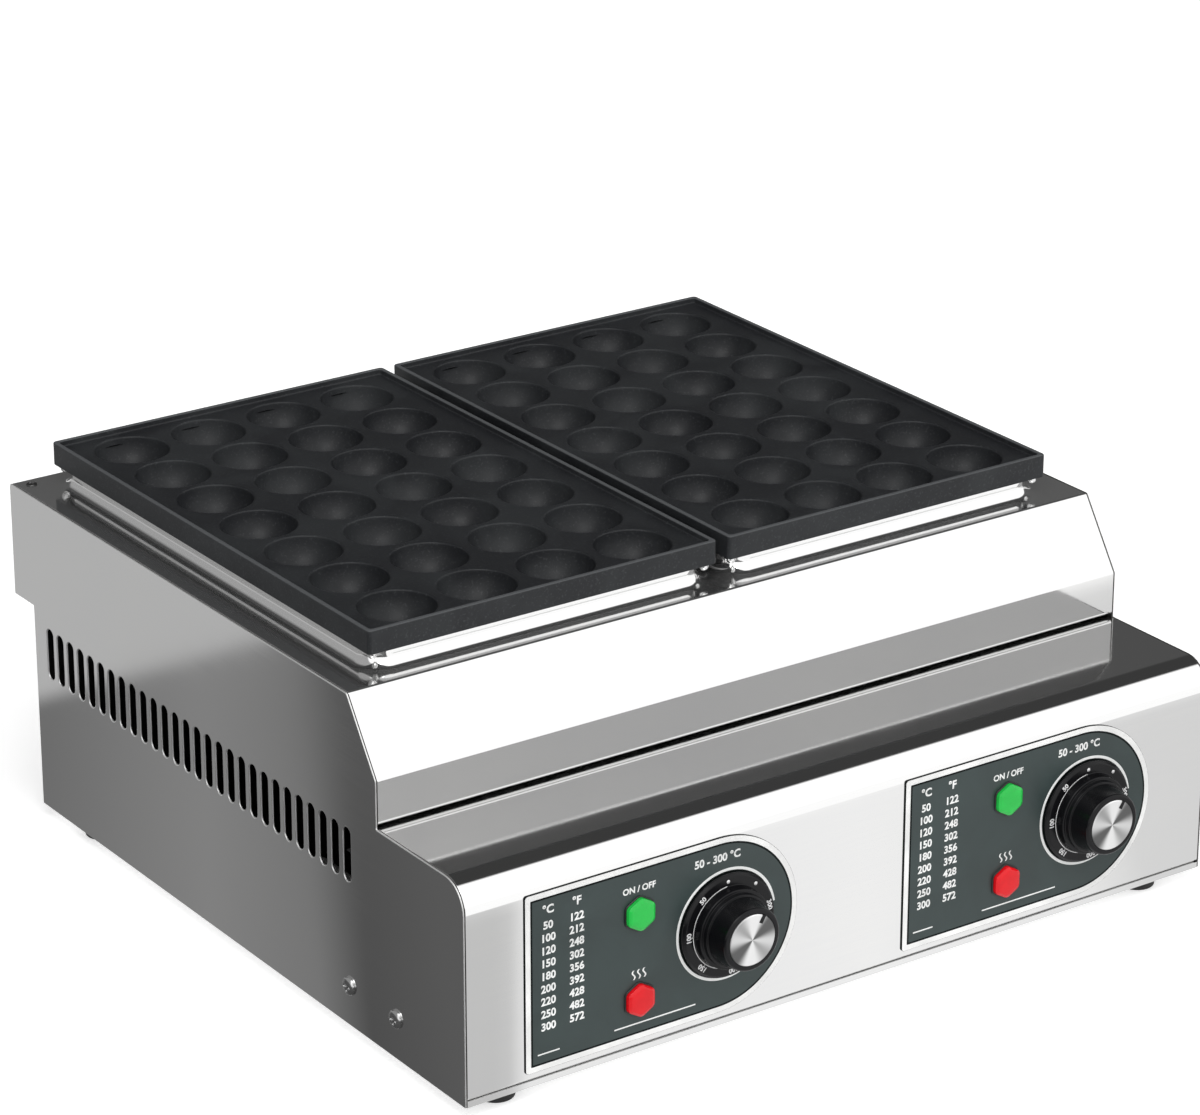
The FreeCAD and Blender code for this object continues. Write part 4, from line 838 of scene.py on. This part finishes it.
def dome_screw(base, outward_axis, outward, radius=4.0, height=2.2):
    """Pan-head screw: the head's height falls off with the square and the tenth power of the
    distance from its axis, less a cross recess whose two arms are clamped slopes of the plan
    coordinates."""
    length, steps = 9.0, 64
    rings = np.concatenate([np.linspace(0, radius * 0.93, 15), [radius * 0.98, radius]])
    angles = np.linspace(0, 2 * math.pi, steps, endpoint=False)
    r, a = np.meshgrid(rings, angles, indexing="ij")
    u, v = r * np.cos(a), r * np.sin(a)
    top = height * np.clip(1 - 0.32 * (r / radius) ** 2 - 0.30 * (r / radius) ** 10, 0, 1)

    def arm(along, across):
        within = np.clip((0.19 - np.abs(across) / radius) / 0.09, 0, 1)
        reach = np.clip((0.57 - np.abs(along) / radius) / 0.10, 0, 1)
        return within * reach

    top -= 0.5 * height * np.maximum(arm(u, v), arm(v, u))
    head = np.stack([u.ravel(), v.ravel(), top.ravel()], axis=1), [grid_faces(len(rings), steps)]
    under = revolve([(radius, top[-1, 0]), (radius, 0.15), (radius - 0.15, 0), (1.9, 0),
                     (1.9, -length + 0.8), (1.2, -length), (0, -length)], (0, 0), LEVEL, steps)
    points, groups = join([head, under])
    turned = np.empty_like(points)
    axes = {0: (1, 2, 0), 1: (0, 2, 1), 2: (0, 1, 2)}[outward_axis]
    turned[:, axes[0]] = points[:, 0]
    turned[:, axes[1]] = points[:, 1]
    turned[:, axes[2]] = points[:, 2] * outward
    return turned + np.array(base, float), groups


def rubber_foot(x, y):
    """Tapered foot: a revolved profile with a rounded foot and a recess for its screw."""
    profile = [(0, 4.0), (4.6, 4.0)] + fillet((4.6, 4.0), (5.0, 4.0), (5.0, 0.0), 0.3, 3)
    profile += fillet((5.0, 3.0), (5.0, 0.0), (7.0, 0.0), 0.5, 4)
    profile += fillet((7.0, 0.0), (9.0, 0.0), (10.0, 8.0), 1.1, 6)
    profile += fillet((9.125, 1.0), (10.0, 8.0), (0.0, 8.0), 0.4, 4) + [(0, 8.0)]
    return revolve(profile, (x, y), LEVEL, 64)


# ---------------------------------------------------------------- plates

def stacked(rows, axes):
    """Surface through closed rows of equally many plane points, each at its own height."""
    points = [raised(np.asarray(row), height, axes) for row, height in rows]
    return np.concatenate(points), [grid_faces(len(rows), len(rows[0][0]))]


def cup_plate():
    """One cast plate about its own centre.

    Its rim is a stack of rounded rectangles that follows lip, outer face, skirt and seat. The
    web inside the lip has 28 mouths; a cup hangs in each and a boss hides it from below."""
    section = rounded_profile(
        [(3.6, web_top), (2.4, web_top), (2.4, lip_top), (0.0, lip_top), (0.0, skirt_bottom),
         (2.6, skirt_bottom), (2.6, collar_top), (7.0, collar_top), (7.0, web_bottom)],
        [0.8, 0.45, 0.6, 0.45, 0.4, 0.2, 0.4])
    rows = []
    for inset, height in section:
        corner = collar_corner if inset > 1.9 and height < web_bottom + 0.5 else 2.0
        half = (plate_half[0] - inset, plate_half[1] - inset)
        rows.append((rectangle((0, 0), half, corner, 8)[0], height))
    centres = [(x, y) for x in cup_columns for y in cup_rows]
    turn = np.linspace(0, math.pi / 2, 6)
    lean = np.linspace(0.075, math.pi / 2, 22)
    cup = [(cup_mouth, web_top)]
    cup += [(cup_radius + 1 - math.sin(t), web_top - 1 + math.cos(t)) for t in turn]
    cup += [(cup_radius * math.cos(t), web_top - cup_radius * math.sin(t)) for t in lean]
    boss = rounded_profile([(21.6, 194.6), (21.0, 193.8), (16.5, 184.0), (7.0, 176.0),
                            (0.0, 176.0)], [1.5, 4.0, 3.0])
    parts = [stacked(rows, LEVEL)]
    parts += [revolve(cup, centre, LEVEL, 56) for centre in centres]
    parts += [revolve(boss, centre, LEVEL, 48) for centre in centres]
    mouths = [circle(centre, cup_mouth, 56)[0] for centre in centres]
    sockets = [circle(centre, boss_socket, 40)[0] for centre in centres]
    parts.append(flat(rows[0][0], mouths, web_top, LEVEL))
    parts.append(flat(rows[-1][0], sockets, web_bottom, LEVEL))
    return join(parts)


def corner_pegs():
    """Four round-ended pins that hang from one plate's corners."""
    shoulder = skirt_bottom - 1.7
    profile = [(0, skirt_bottom + 4), (peg_radius, skirt_bottom + 4), (peg_radius, shoulder)]
    profile += [(peg_radius * math.cos(t), shoulder - peg_radius * math.sin(t))
                for t in np.linspace(0, math.pi / 2, 7)[1:]]
    reach = (plate_half[0] - peg_inset, plate_half[1] - peg_inset)
    return join([revolve(profile, (sx * reach[0], sy * reach[1]), LEVEL, 32)
                 for sx in (-1, 1) for sy in (-1, 1)])


# ---------------------------------------------------------------- dials and panels

def clock_point(radius, clock_angle):
    """Plane point at a radius and an angle clockwise from the top."""
    return radius * math.sin(clock_angle), radius * math.cos(clock_angle)


def arc_band(radius, width, first, last, height):
    """Flat band along an arc, between two angles clockwise from the top in degrees."""
    angles = np.radians(np.linspace(first, last, max(4, int(abs(last - first) / 3))))
    rows = []
    for reach in (radius - width / 2, radius + width / 2):
        plane = np.stack([reach * np.sin(angles), reach * np.cos(angles)], axis=1)
        rows.append(raised(plane, height, UPRIGHT))
    return np.concatenate(rows), [grid_faces(2, len(angles), closed=False)]


def tick(radius, length, width, clock, height):
    """Short radial mark at an angle clockwise from the top in degrees."""
    angle = math.radians(clock)
    out = np.array(clock_point(1.0, angle))
    aside = np.array((out[1], -out[0]))
    corners = [out * (radius + a * length / 2) + aside * b * width / 2
               for a, b in ((-1, -1), (-1, 1), (1, 1), (1, -1))]
    return raised(np.array(corners), height, UPRIGHT), [np.array([[0, 1, 2, 3]])]


def lettering(text, size, at, height, turn=0.0):
    """Figures as a flat mesh centred on a plane point, turned clockwise by an angle."""
    curve = bpy.data.curves.new("Figures", "FONT")
    curve.body = text
    curve.size = size
    curve.align_x = "CENTER"
    curve.align_y = "CENTER"
    curve.resolution_u = 3
    curve.offset = 0.035 * size
    holder = bpy.data.objects.new("Figures", curve)
    mesh = bpy.data.meshes.new_from_object(holder)
    found = np.empty(len(mesh.vertices) * 3)
    mesh.vertices.foreach_get("co", found)
    plane = found.reshape(-1, 3)[:, :2]
    mesh.calc_loop_triangles()
    triangles = np.empty(len(mesh.loop_triangles) * 3, dtype=np.int32)
    mesh.loop_triangles.foreach_get("vertices", triangles)
    cosine, sine = math.cos(turn), math.sin(turn)
    turned = np.stack([plane[:, 0] * cosine + plane[:, 1] * sine,
                       plane[:, 1] * cosine - plane[:, 0] * sine], axis=1)
    bpy.data.objects.remove(holder)
    bpy.data.curves.remove(curve)
    bpy.data.meshes.remove(mesh)
    return raised(turned + at, height, UPRIGHT), [triangles.reshape(-1, 3)]


def wave_glyph(at, height):
    """Sign for heat: three upright wavy strokes, x = amplitude times sin(2 pi t)."""
    parts = []
    for offset in (-3.0, 0.0, 3.0):
        t = np.linspace(0, 1, 25)
        middle = 0.7 * np.sin(2 * math.pi * t) + offset
        rows = [raised(np.stack([middle + side + at[0], (t - 0.5) * 4.8 + at[1]], axis=1),
                       height, UPRIGHT) for side in (-0.45, 0.45)]
        parts.append((np.concatenate(rows), [grid_faces(2, len(t), closed=False)]))
    return join(parts)


def panel_outline(inset):
    """Control plate's outline about its lower left corner: square at the left, round at the
    right, taken in by an inset."""
    low, high = inset, panel_size[1] - inset
    right = panel_size[0] - inset
    end = panel_size[1] / 2 - inset - 0.001
    corner = max(1.5 - inset * 0.4, 0.4)
    return rounded_loop([(low, low), (right, low), (right, high), (low, high)],
                        [corner, end, end, corner], 24)


def panel_holes():
    """Holes of a control plate for the dial and its two lamps."""
    holes = [circle((dial_offset, dial_height - panel_bottom), 19.0, 64)]
    return holes + [circle((lamp_offset, z - panel_bottom), lamp_hole, 32)
                    for z in lamp_heights.values()]


def panel_face(layer, inset):
    """Flat printed layer of a control plate, inside an inset."""
    holes = [points for points, _ in panel_holes()]
    return flat(panel_outline(inset)[0], holes, print_layers[layer], UPRIGHT)


def panel_ring():
    """Black ring printed on a control plate round the dial."""
    centre = (dial_offset, dial_height - panel_bottom)
    return flat(circle(centre, 27.1, 96)[0], [circle(centre, 24.0, 96)[0]],
                print_layers["ring"], UPRIGHT)


def panel_print():
    """White print of one control plate, from its lower left corner: dial ring, temperature
    table in two columns, lamp signs and rules."""
    face = print_layers["print"]
    base = -panel_bottom
    parts = [moved(arc_band(27.8, 1.4, 158, 441, face), dial_offset, z=dial_height + base)]
    celsius = ("50", "100", "120", "150", "180", "200", "220", "250", "300")
    fahrenheit = ("122", "212", "248", "302", "356", "392", "428", "482", "572")
    for x, sign, figures in ((12.5, "°C", celsius), (28.2, "°F", fahrenheit)):
        parts.append(lettering(sign, 5.8, (x, 96.0 + base), face))
        for row, figure in enumerate(figures):
            parts.append(lettering(figure, 5.4, (x, 88.2 - 6.4 * row + base), face))
    parts.append(lettering("ON / OFF", 4.4, (lamp_offset, 92.4 + base), face))
    parts.append(wave_glyph((lamp_offset, 49.0 + base), face))
    parts.append(lettering("50 - 300 °C", 5.5, (107.0, 95.0 + base), face))
    for first, last in ((6.5, 18.5), (49.0, 95.0)):
        line = oblong((first, last), (23.35 + base, 24.05 + base))
        parts.append((raised(line, face, UPRIGHT), [np.array([[0, 1, 2, 3]])]))
    return join(parts)


def dial_body():
    """Dial about its axis: revolved skirt, two steps and a tapered grip with a seat for the
    disc, its corners rounded."""
    corners = [(0, -1.8), (26.4, -1.8), (26.4, -2.8), (25.2, -4.0), (20.6, -4.0), (20.0, -8.4),
               (18.6, -8.4), (18.1, -10.6), (17.2, -10.6), (15.7, -21.6), (13.0, -21.6),
               (13.0, -20.0), (0, -20.0)]
    return revolve(rounded_profile(corners, [0.3, 0.4, 0.8, 0.35, 0.6, 0.3, 0.45, 0.3, 1.4,
                                             0.25, 0.1]), (0, 0), UPRIGHT, 96)


def dial_disc():
    """Metal disc about the dial's axis: slightly dished face with a bevelled edge."""
    corners = [(0, -20.0), (12.9, -20.0), (12.9, -21.6), (12.5, -21.95), (11.8, -21.92),
               (6.0, -21.72), (0, -21.66)]
    return revolve(rounded_profile(corners, [0.05, 0.15, 0.15, 0, 0]), (0, 0), UPRIGHT, 96)


def dial_pointer():
    """Black bar at the disc's upper edge, a rounded block from inside the disc to its rim."""
    outline = rectangle((0, 10.9), (1.1, 2.1), 0.3, 4)
    return plate(outline, [], -22.0, -20.4, UPRIGHT, 0.15)


def dial_figures():
    """Marks on the dial's skirt: figures round the edge, dots, and a thin scale line."""
    face = -4.04
    parts = [arc_band(20.95, 0.4, -312, -35, face)]
    for step, figure in enumerate(("50", "100", "150", "200", "250", "300")):
        clock = -72 - 48 * step
        angle = math.radians(clock)
        parts.append(lettering(figure, 3.6, clock_point(23.2, angle), face, angle))
        parts.append(tick(21.2, 0.9, 0.4, clock, face))
    for clock in (-33, 9):
        dot = circle(clock_point(23.2, math.radians(clock)), 0.95, 20)[0]
        parts.append(flat(dot, [], face, UPRIGHT))
    return join(parts)


def turned_dial(patch):
    """Dial piece turned to its rest angle, clockwise seen from the front, and lifted to its
    axis height."""
    points, groups = patch
    cosine, sine = math.cos(dial_turn), math.sin(dial_turn)
    turned = np.stack([points[:, 0] * cosine + points[:, 2] * sine, points[:, 1],
                       points[:, 2] * cosine - points[:, 0] * sine], axis=1)
    return turned + (0, 0, dial_height), groups


def hexagon(radius, corner, first=30.0):
    """Rounded hexagon about the origin, radius to its corners."""
    angles = np.radians(first + 60 * np.arange(6))
    return rounded_loop(np.stack([radius * np.cos(angles), radius * np.sin(angles)], axis=1),
                        corner, 4)[0]


def lamp_lens():
    """Lens about its axis: a stack of rounded hexagons that ends in a shallow dome."""
    rows = [(8.6, 3.0, -panel_sheet), (8.6, 3.0, -3.1), (8.4, 3.0, -3.4), (7.2, 2.6, -4.0),
            (6.8, 2.5, -4.16), (5.0, 1.8, -4.30), (2.5, 1.0, -4.38), (0.05, 0.01, -4.4)]
    patch = stacked([(hexagon(radius, corner), y) for radius, corner, y in rows], UPRIGHT)
    back = flat(hexagon(8.6, 3.0), [], -panel_sheet, UPRIGHT)
    return join([patch, back])


def lamp_rim():
    """Dark rim that holds a lens: hexagonal ring with rounded edges."""
    rows = [(8.65, 3.0, -panel_sheet), (8.65, 3.0, -1.45), (8.8, 3.0, -1.6), (9.3, 3.1, -1.6),
            (9.5, 3.1, -1.4), (9.5, 3.1, -panel_sheet), (8.65, 3.0, -panel_sheet)]
    return stacked([(hexagon(radius, corner), y) for radius, corner, y in rows], UPRIGHT)


def lamp_barrel():
    """Lamp behind the panel: barrel, spring clip and tapered tail."""
    corners = [(0, -panel_sheet), (6.0, -panel_sheet), (6.0, sheet), (9.0, sheet), (9.0, 3.2),
               (6.0, 3.2), (6.0, 16.0), (4.8, 17.0), (4.8, 21.2), (0, 21.2)]
    return revolve(rounded_profile(corners, [0.1, 0.1, 0.3, 0.3, 0.2, 0.3, 0.3, 0.4]),
                   (0, 0), UPRIGHT, 48)


# ---------------------------------------------------------------- heaters and inlets

def heater_line(columns):
    """Middle line of a heating element: back and forth under the columns of cups, joined by
    half circles, both ends out at the front."""
    turn = (columns[1] - columns[0]) / 2
    rear, front, stub = 364.7, 148.8, 98.5
    line = [(columns[0], stub)]
    for i in range(3):
        at_rear = i % 2 == 0
        centre = (columns[i] + turn, rear if at_rear else front)
        sweep = np.linspace(math.pi, 0, 15) if at_rear else np.linspace(math.pi, 2 * math.pi, 15)
        line += [(centre[0] + turn * math.cos(t), centre[1] + turn * math.sin(t)) for t in sweep]
    line.append((columns[3], stub))
    return np.array([(x, y, heater_height) for x, y in line])


def heating_element(centre):
    """Sheathed element with a terminal pin at each end."""
    line = heater_line([centre + x for x in cup_columns])
    parts = [tube(line, 4.0)]
    for x, y, z in (line[0], line[-1]):
        pin = [(0, y - 5.0), (1.4, y - 5.0), (1.6, y - 4.6), (1.6, y + 0.5), (0, y + 0.5)]
        parts.append(revolve(pin, (x, z), UPRIGHT, 24))
    return join(parts)


def cable_gland():
    """Cable gland about its axis: thread, hexagon with rounded corners, and a clamping nut
    whose radius swings by a cosine of the angle to make grips."""
    face = base_depth
    angles = np.linspace(0, 2 * math.pi, 144, endpoint=False)
    around = np.stack([np.cos(angles), np.sin(angles)], axis=1)

    def ring(radius, grip=0.0):
        return around * (radius + grip * np.cos(12 * angles))[:, None]

    thread = [(4.5, face - 9.0), (9.2, face - 9.0)]
    for i in range(7):
        thread += [(9.8, face - 8.5 + i * 1.2), (9.3, face - 7.9 + i * 1.2)]
    thread += [(9.3, face)]
    parts = [revolve(thread, (0, 0), UPRIGHT, 64)]
    hexes = [(9.3, 0.5, face), (13.0, 1.6, face), (13.5, 1.2, face + 0.4),
             (13.5, 1.2, face + 4.6), (13.0, 1.6, face + 5.0), (9.3, 0.5, face + 5.0)]
    parts.append(stacked([(hexagon(radius, corner, 0.0), y) for radius, corner, y in hexes],
                         UPRIGHT))
    rows = [(ring(10.0), face + 5.0), (ring(11.0), face + 5.0), (ring(11.2, 0.3), face + 5.6),
            (ring(11.2, 0.3), face + 9.6), (ring(11.0, 0.2), face + 10.4),
            (ring(10.2), face + 12.2), (ring(8.8), face + 14.4), (ring(7.4), face + 15.8),
            (ring(6.8), face + 16.0), (ring(5.2), face + 15.8), (ring(4.7), face + 15.2),
            (ring(4.5), face + 14.0), (ring(4.5), face - 9.0)]
    parts.append(stacked(rows, UPRIGHT))
    return join(parts)


# ---------------------------------------------------------------- putting it together

add_piece("casing_cover", casing_cover(), finishes["cover"], "casing",
          ["top_housing"])
add_piece("front_sheet", front_sheet(), finishes["sheet"], "casing",
          ["front_panel"])
add_piece("rear_sheet", rear_sheet(), finishes["rear"], "casing", ["rear_panel"])
skin = side_skin()
add_piece("left_skin", skin, finishes["side"], "casing", ["left_side_panel"],
          sharp=12)
add_piece("right_skin", mirrored(skin), finishes["side"], "casing",
          ["right_side_panel"], sharp=12)

side_heads = [dome_screw((side * half_width, y, side_screw_height), 0, side, 4.7)
              for side in (-1, 1) for y in side_screw_depths]
add_piece("side_screw_heads", join(side_heads), finishes["screw"], "casing",
          ["side_screws"])
top_heads = [dome_screw((x, top_screw_depth, top_height), 2, 1, 2.8, 1.0) for x in rear_screw_x]
add_piece("top_screw_heads", join(top_heads), finishes["small_screw"], "casing",
          ["top_screws"])
rear_heads = [dome_screw((x, base_depth, z), 1, 1)
              for x in rear_screw_x for z in rear_screw_heights]
add_piece("rear_screw_heads", join(rear_heads), finishes["screw"], "casing",
          ["rear_screws"])

for name, (x, y) in feet.items():
    add_piece(name + "_rubber_foot", rubber_foot(x, y), finishes["rubber"], "casing",
              [name + "_foot"])

shaped_plate = cup_plate()
pins = corner_pegs()
for side, centre in plate_centres.items():
    body = side + "_plate"
    add_piece(side + "_cup_plate", moved(shaped_plate, centre, plate_middle), finishes["coating"],
              body, [side + "_mould_plate"])
    add_piece(side + "_corner_pins", moved(pins, centre, plate_middle), finishes["peg"], body,
              [side + "_plate_pegs"])
    add_piece(side + "_heater", heating_element(centre), finishes["sheath"], "casing",
              [side + "_heating_element"])

for side, left in panel_edges.items():
    dial_x = left + dial_offset
    lamp_x = left + lamp_offset
    body = side + "_dial"
    # Painted shade: the plate's body takes the black of the printed outline, so its edge wall and
    # the thin rim outside the white border read as the shade line along its edge.
    base = plate(panel_outline(0.0), panel_holes(), -panel_sheet, 0.0, UPRIGHT, 0.12)
    add_piece(side + "_panel_base", moved(base, left, 0, panel_bottom), finishes["outline"],
              "casing", [side + "_control_plate"])
    printed = {layer: panel_face(layer, inset)
               for layer, inset in (("border", 0.15), ("outline", 2.9), ("field", 3.9))}
    printed.update(ring=panel_ring(), print=panel_print())
    for layer, patch in printed.items():
        add_piece(side + "_panel_" + layer, moved(patch, left, 0, panel_bottom),
                  finishes[layer], "casing", film=True)
    add_piece(side + "_dial_body", moved(turned_dial(dial_body()), dial_x), finishes["dial"],
              body, [side + "_knob"])
    add_piece(side + "_dial_disc", moved(turned_dial(dial_disc()), dial_x),
              finishes[side + "_disc"], body, [side + "_knob_cap"])
    add_piece(side + "_dial_pointer", moved(turned_dial(dial_pointer()), dial_x),
              finishes["dial"], body)
    add_piece(side + "_dial_figures", moved(turned_dial(dial_figures()), dial_x),
              finishes["dial_print"], body, film=True)
    for lamp, colour in (("power", "green"), ("heating", "red")):
        lens = moved(lamp_lens(), lamp_x, 0, lamp_heights[colour])
        add_piece(side + "_" + colour + "_lens", lens, finishes[colour + "_lens"], "casing",
                  [side + "_" + lamp + "_lens"])
    lamps = [moved(shape, lamp_x, 0, z) for shape in (lamp_rim(), lamp_barrel())
             for z in lamp_heights.values()]
    add_piece(side + "_lamps", join(lamps), finishes["lamp"], "casing",
              [side + "_lamp_bodies"])
    gland = moved(cable_gland(), gland_x[side], 0, gland_height)
    add_piece(side + "_inlet", gland, finishes["nylon"], "casing",
              [side + "_cable_gland"])

kept = {"base_pan": "pan", "heat_tray": "tray", "element_brackets": "tray",
        "element_nuts": "brass", "capillary_bulb": "copper", "thermostat": "phenolic",
        "thermostat_screws": "screw", "dial_shaft": "shaft", "gland_locknuts": "nylon",
        "earth_stud": "brass", "terminal_block": "ceramic", "terminal_screws": "brass",
        "foot_screws": "screw", "foot_nuts": "screw"}
for name, node_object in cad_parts.items():
    plain = name.split("_", 1)[1] if name.startswith(("left_", "right_")) else name
    if plain in kept:
        for material_slot in node_object.material_slots:
            material_slot.link = "OBJECT"
            material_slot.material = finishes[kept[plain]]


# ---------------------------------------------------------------- studio

def graded(tree, value, stops):
    """Grey read off straight runs between (value, grey) stops."""
    low, high = stops[0][0], stops[-1][0]
    ramp = tree.nodes.new("ShaderNodeValToRGB")
    tree.links.new(mapped(tree, value, low, high, smooth=False), ramp.inputs["Fac"])
    marks = ramp.color_ramp.elements
    for place, shade in stops[1:-1]:
        marks.new((place - low) / (high - low)).color = grey(shade)
    marks[0].color = grey(stops[0][1])
    marks[len(marks) - 1].color = grey(stops[-1][1])
    return ramp.outputs["Color"]


def studio_floor():
    """White floor, clear from below. Polished metal sees it in patches: bright ahead of the machine
    with greyer ends, dark beside its front, paler towards the back and nearly black under the
    machine. Under the machine the floor is painted as shade: near black in reflections, and without
    its lift for the camera."""
    mesh = bpy.data.meshes.new("Studio floor")
    span = (-30.0, 30.0)
    mesh.from_pydata([(x, y, 0.0) for x, y in oblong(span, span)], [], [(0, 1, 2, 3)])
    floor = bpy.data.objects.new("studio_floor", mesh)
    bpy.context.scene.collection.objects.link(floor)
    made = bpy.data.materials.new("Studio floor")
    made.use_nodes = True
    tree = made.node_tree
    tree.nodes.clear()
    place = tree.nodes.new("ShaderNodeTexCoord").outputs["Object"]
    axes = add_node(tree, "ShaderNodeSeparateXYZ", {"Vector": place}).outputs
    ahead = math_node(tree, "MULTIPLY_ADD", axes["Y"], 0.667, 0.132)
    across = math_node(tree, "ADD", axes["X"], ahead)
    front = graded(tree, across, [(-0.205, 0.66), (-0.196, 0.70), (-0.186, 1.0), (0.02, 1.08),
                                  (0.15, 1.0), (0.19, 0.83), (0.30, 0.80)])
    front = mixed(tree, mapped(tree, axes["Y"], -0.40, -0.37), grey(1.25), front)
    aside = math_node(tree, "MULTIPLY_ADD", axes["X"], 1.757, 0.387)
    along = math_node(tree, "ADD", axes["Y"], aside)
    beside = graded(tree, along, [(-0.20, 0.12), (-0.12, 0.095), (-0.075, 0.22), (0.03, 0.27),
                                  (0.12, 0.23), (0.20, 0.19)])
    beside = mixed(tree, mapped(tree, axes["Y"], 0.32, 0.35), beside, grey(0.53))
    left = mapped(tree, axes["X"], -0.222, -0.219, 1.0, 0.0)
    # Painted shade under the machine: there the floor loses its lift and shows near black to glossy
    # rays.
    under_x, under_y = (
        math_node(tree, "LESS_THAN", math_node(tree, "ABSOLUTE", axes[axis]), half)
        for axis, half in (("X", 0.20), ("Y", 0.17)))
    shade_under_machine = math_node(tree, "MULTIPLY", under_x, under_y)
    seen = mixed(tree, shade_under_machine, mixed(tree, left, front, beside), grey(0.02))
    mirrored_light = add_node(tree, "ShaderNodeEmission", {"Color": seen}).outputs[0]
    matte = add_node(tree, "ShaderNodeBsdfDiffuse", {"Color": grey(0.92)}).outputs[0]
    strength = math_node(tree, "MULTIPLY_ADD", shade_under_machine, -0.5, 0.5)
    lift = add_node(tree, "ShaderNodeEmission", {"Color": grey(1.0),
                                                 "Strength": strength}).outputs[0]
    lifted = add_node(tree, "ShaderNodeAddShader", {0: matte, 1: lift}).outputs[0]
    path = tree.nodes.new("ShaderNodeLightPath").outputs
    body = add_node(tree, "ShaderNodeMixShader",
                    {0: path["Is Camera Ray"], 1: matte, 2: lifted}).outputs[0]
    body = add_node(tree, "ShaderNodeMixShader",
                    {0: path["Is Glossy Ray"], 1: body, 2: mirrored_light}).outputs[0]
    under = tree.nodes.new("ShaderNodeNewGeometry").outputs["Backfacing"]
    clear = tree.nodes.new("ShaderNodeBsdfTransparent").outputs[0]
    body = add_node(tree, "ShaderNodeMixShader", {0: under, 1: body, 2: clear}).outputs[0]
    add_node(tree, "ShaderNodeOutputMaterial", {"Surface": body})
    mesh.materials.append(made)


def studio_world():
    """Surroundings: white in front, dark behind and overhead, mid grey behind on the left. In
    metal that mirrors metal the front shows a grey band above the horizon."""
    world = bpy.data.worlds.new("Studio")
    bpy.context.scene.world = world
    world.use_nodes = True
    tree = world.node_tree
    tree.nodes.clear()
    direction = tree.nodes.new("ShaderNodeTexCoord").outputs["Generated"]
    axes = add_node(tree, "ShaderNodeSeparateXYZ", {"Vector": direction}).outputs
    path = tree.nodes.new("ShaderNodeLightPath").outputs
    again = math_node(tree, "GREATER_THAN", path["Ray Depth"], 2.5)
    below = mapped(tree, axes["Z"], 0.45, 0.50, 1.0, 0.0)
    above = mapped(tree, axes["Z"], 0.20, 0.28)
    band = math_node(tree, "MULTIPLY", math_node(tree, "MULTIPLY", above, below), again)
    paler = graded(tree, axes["X"], [(0.45, 0.52), (0.62, 0.48)])
    front = mixed(tree, band, grey(1.35), paler)
    overhead = mapped(tree, axes["Z"], 0.45, 0.60)
    right = mixed(tree, overhead, grey(0.09), grey(0.05))
    rear = mixed(tree, mapped(tree, axes["X"], -0.45, -0.15, 1.0, 0.0), right, grey(0.40))
    shade = mixed(tree, mapped(tree, axes["Y"], -0.20, -0.08, 1.0, 0.0), rear, front)
    shade = mixed(tree, path["Is Camera Ray"], shade, grey(1.0))
    sky = add_node(tree, "ShaderNodeBackground", {"Color": shade, "Strength": 1.0}).outputs[0]
    add_node(tree, "ShaderNodeOutputWorld", {"Surface": sky})


def softbox(name, place, aim, size, power):
    """Area light at a place, turned towards a point."""
    data = bpy.data.lights.new(name, "AREA")
    data.shape = "RECTANGLE"
    data.size, data.size_y = size
    data.energy = power
    light = bpy.data.objects.new(name, data)
    light.location = place
    light.rotation_euler = (Vector(aim) - Vector(place)).to_track_quat("-Z", "Y").to_euler()
    bpy.context.scene.collection.objects.link(light)


def main_camera():
    """Camera in front and to the left, above the machine."""
    data = bpy.data.cameras.new("Camera")
    data.sensor_width = 36
    data.lens = 139.25
    camera = bpy.data.objects.new("Camera", data)
    camera.location = (-1.2268, -1.7534, 1.0255)
    aim = Vector((-0.00692, 0.0020, 0.1614))
    camera.rotation_euler = (aim - camera.location).to_track_quat("-Z", "Y").to_euler()
    bpy.context.scene.collection.objects.link(camera)
    bpy.context.scene.camera = camera


studio_floor()
studio_world()
softbox("Key softbox", (-0.9, -1.1, 1.9), (0, 0, 0.1), (1.2, 0.8), 12)
main_camera()
bpy.context.scene.view_settings.view_transform = "Standard"
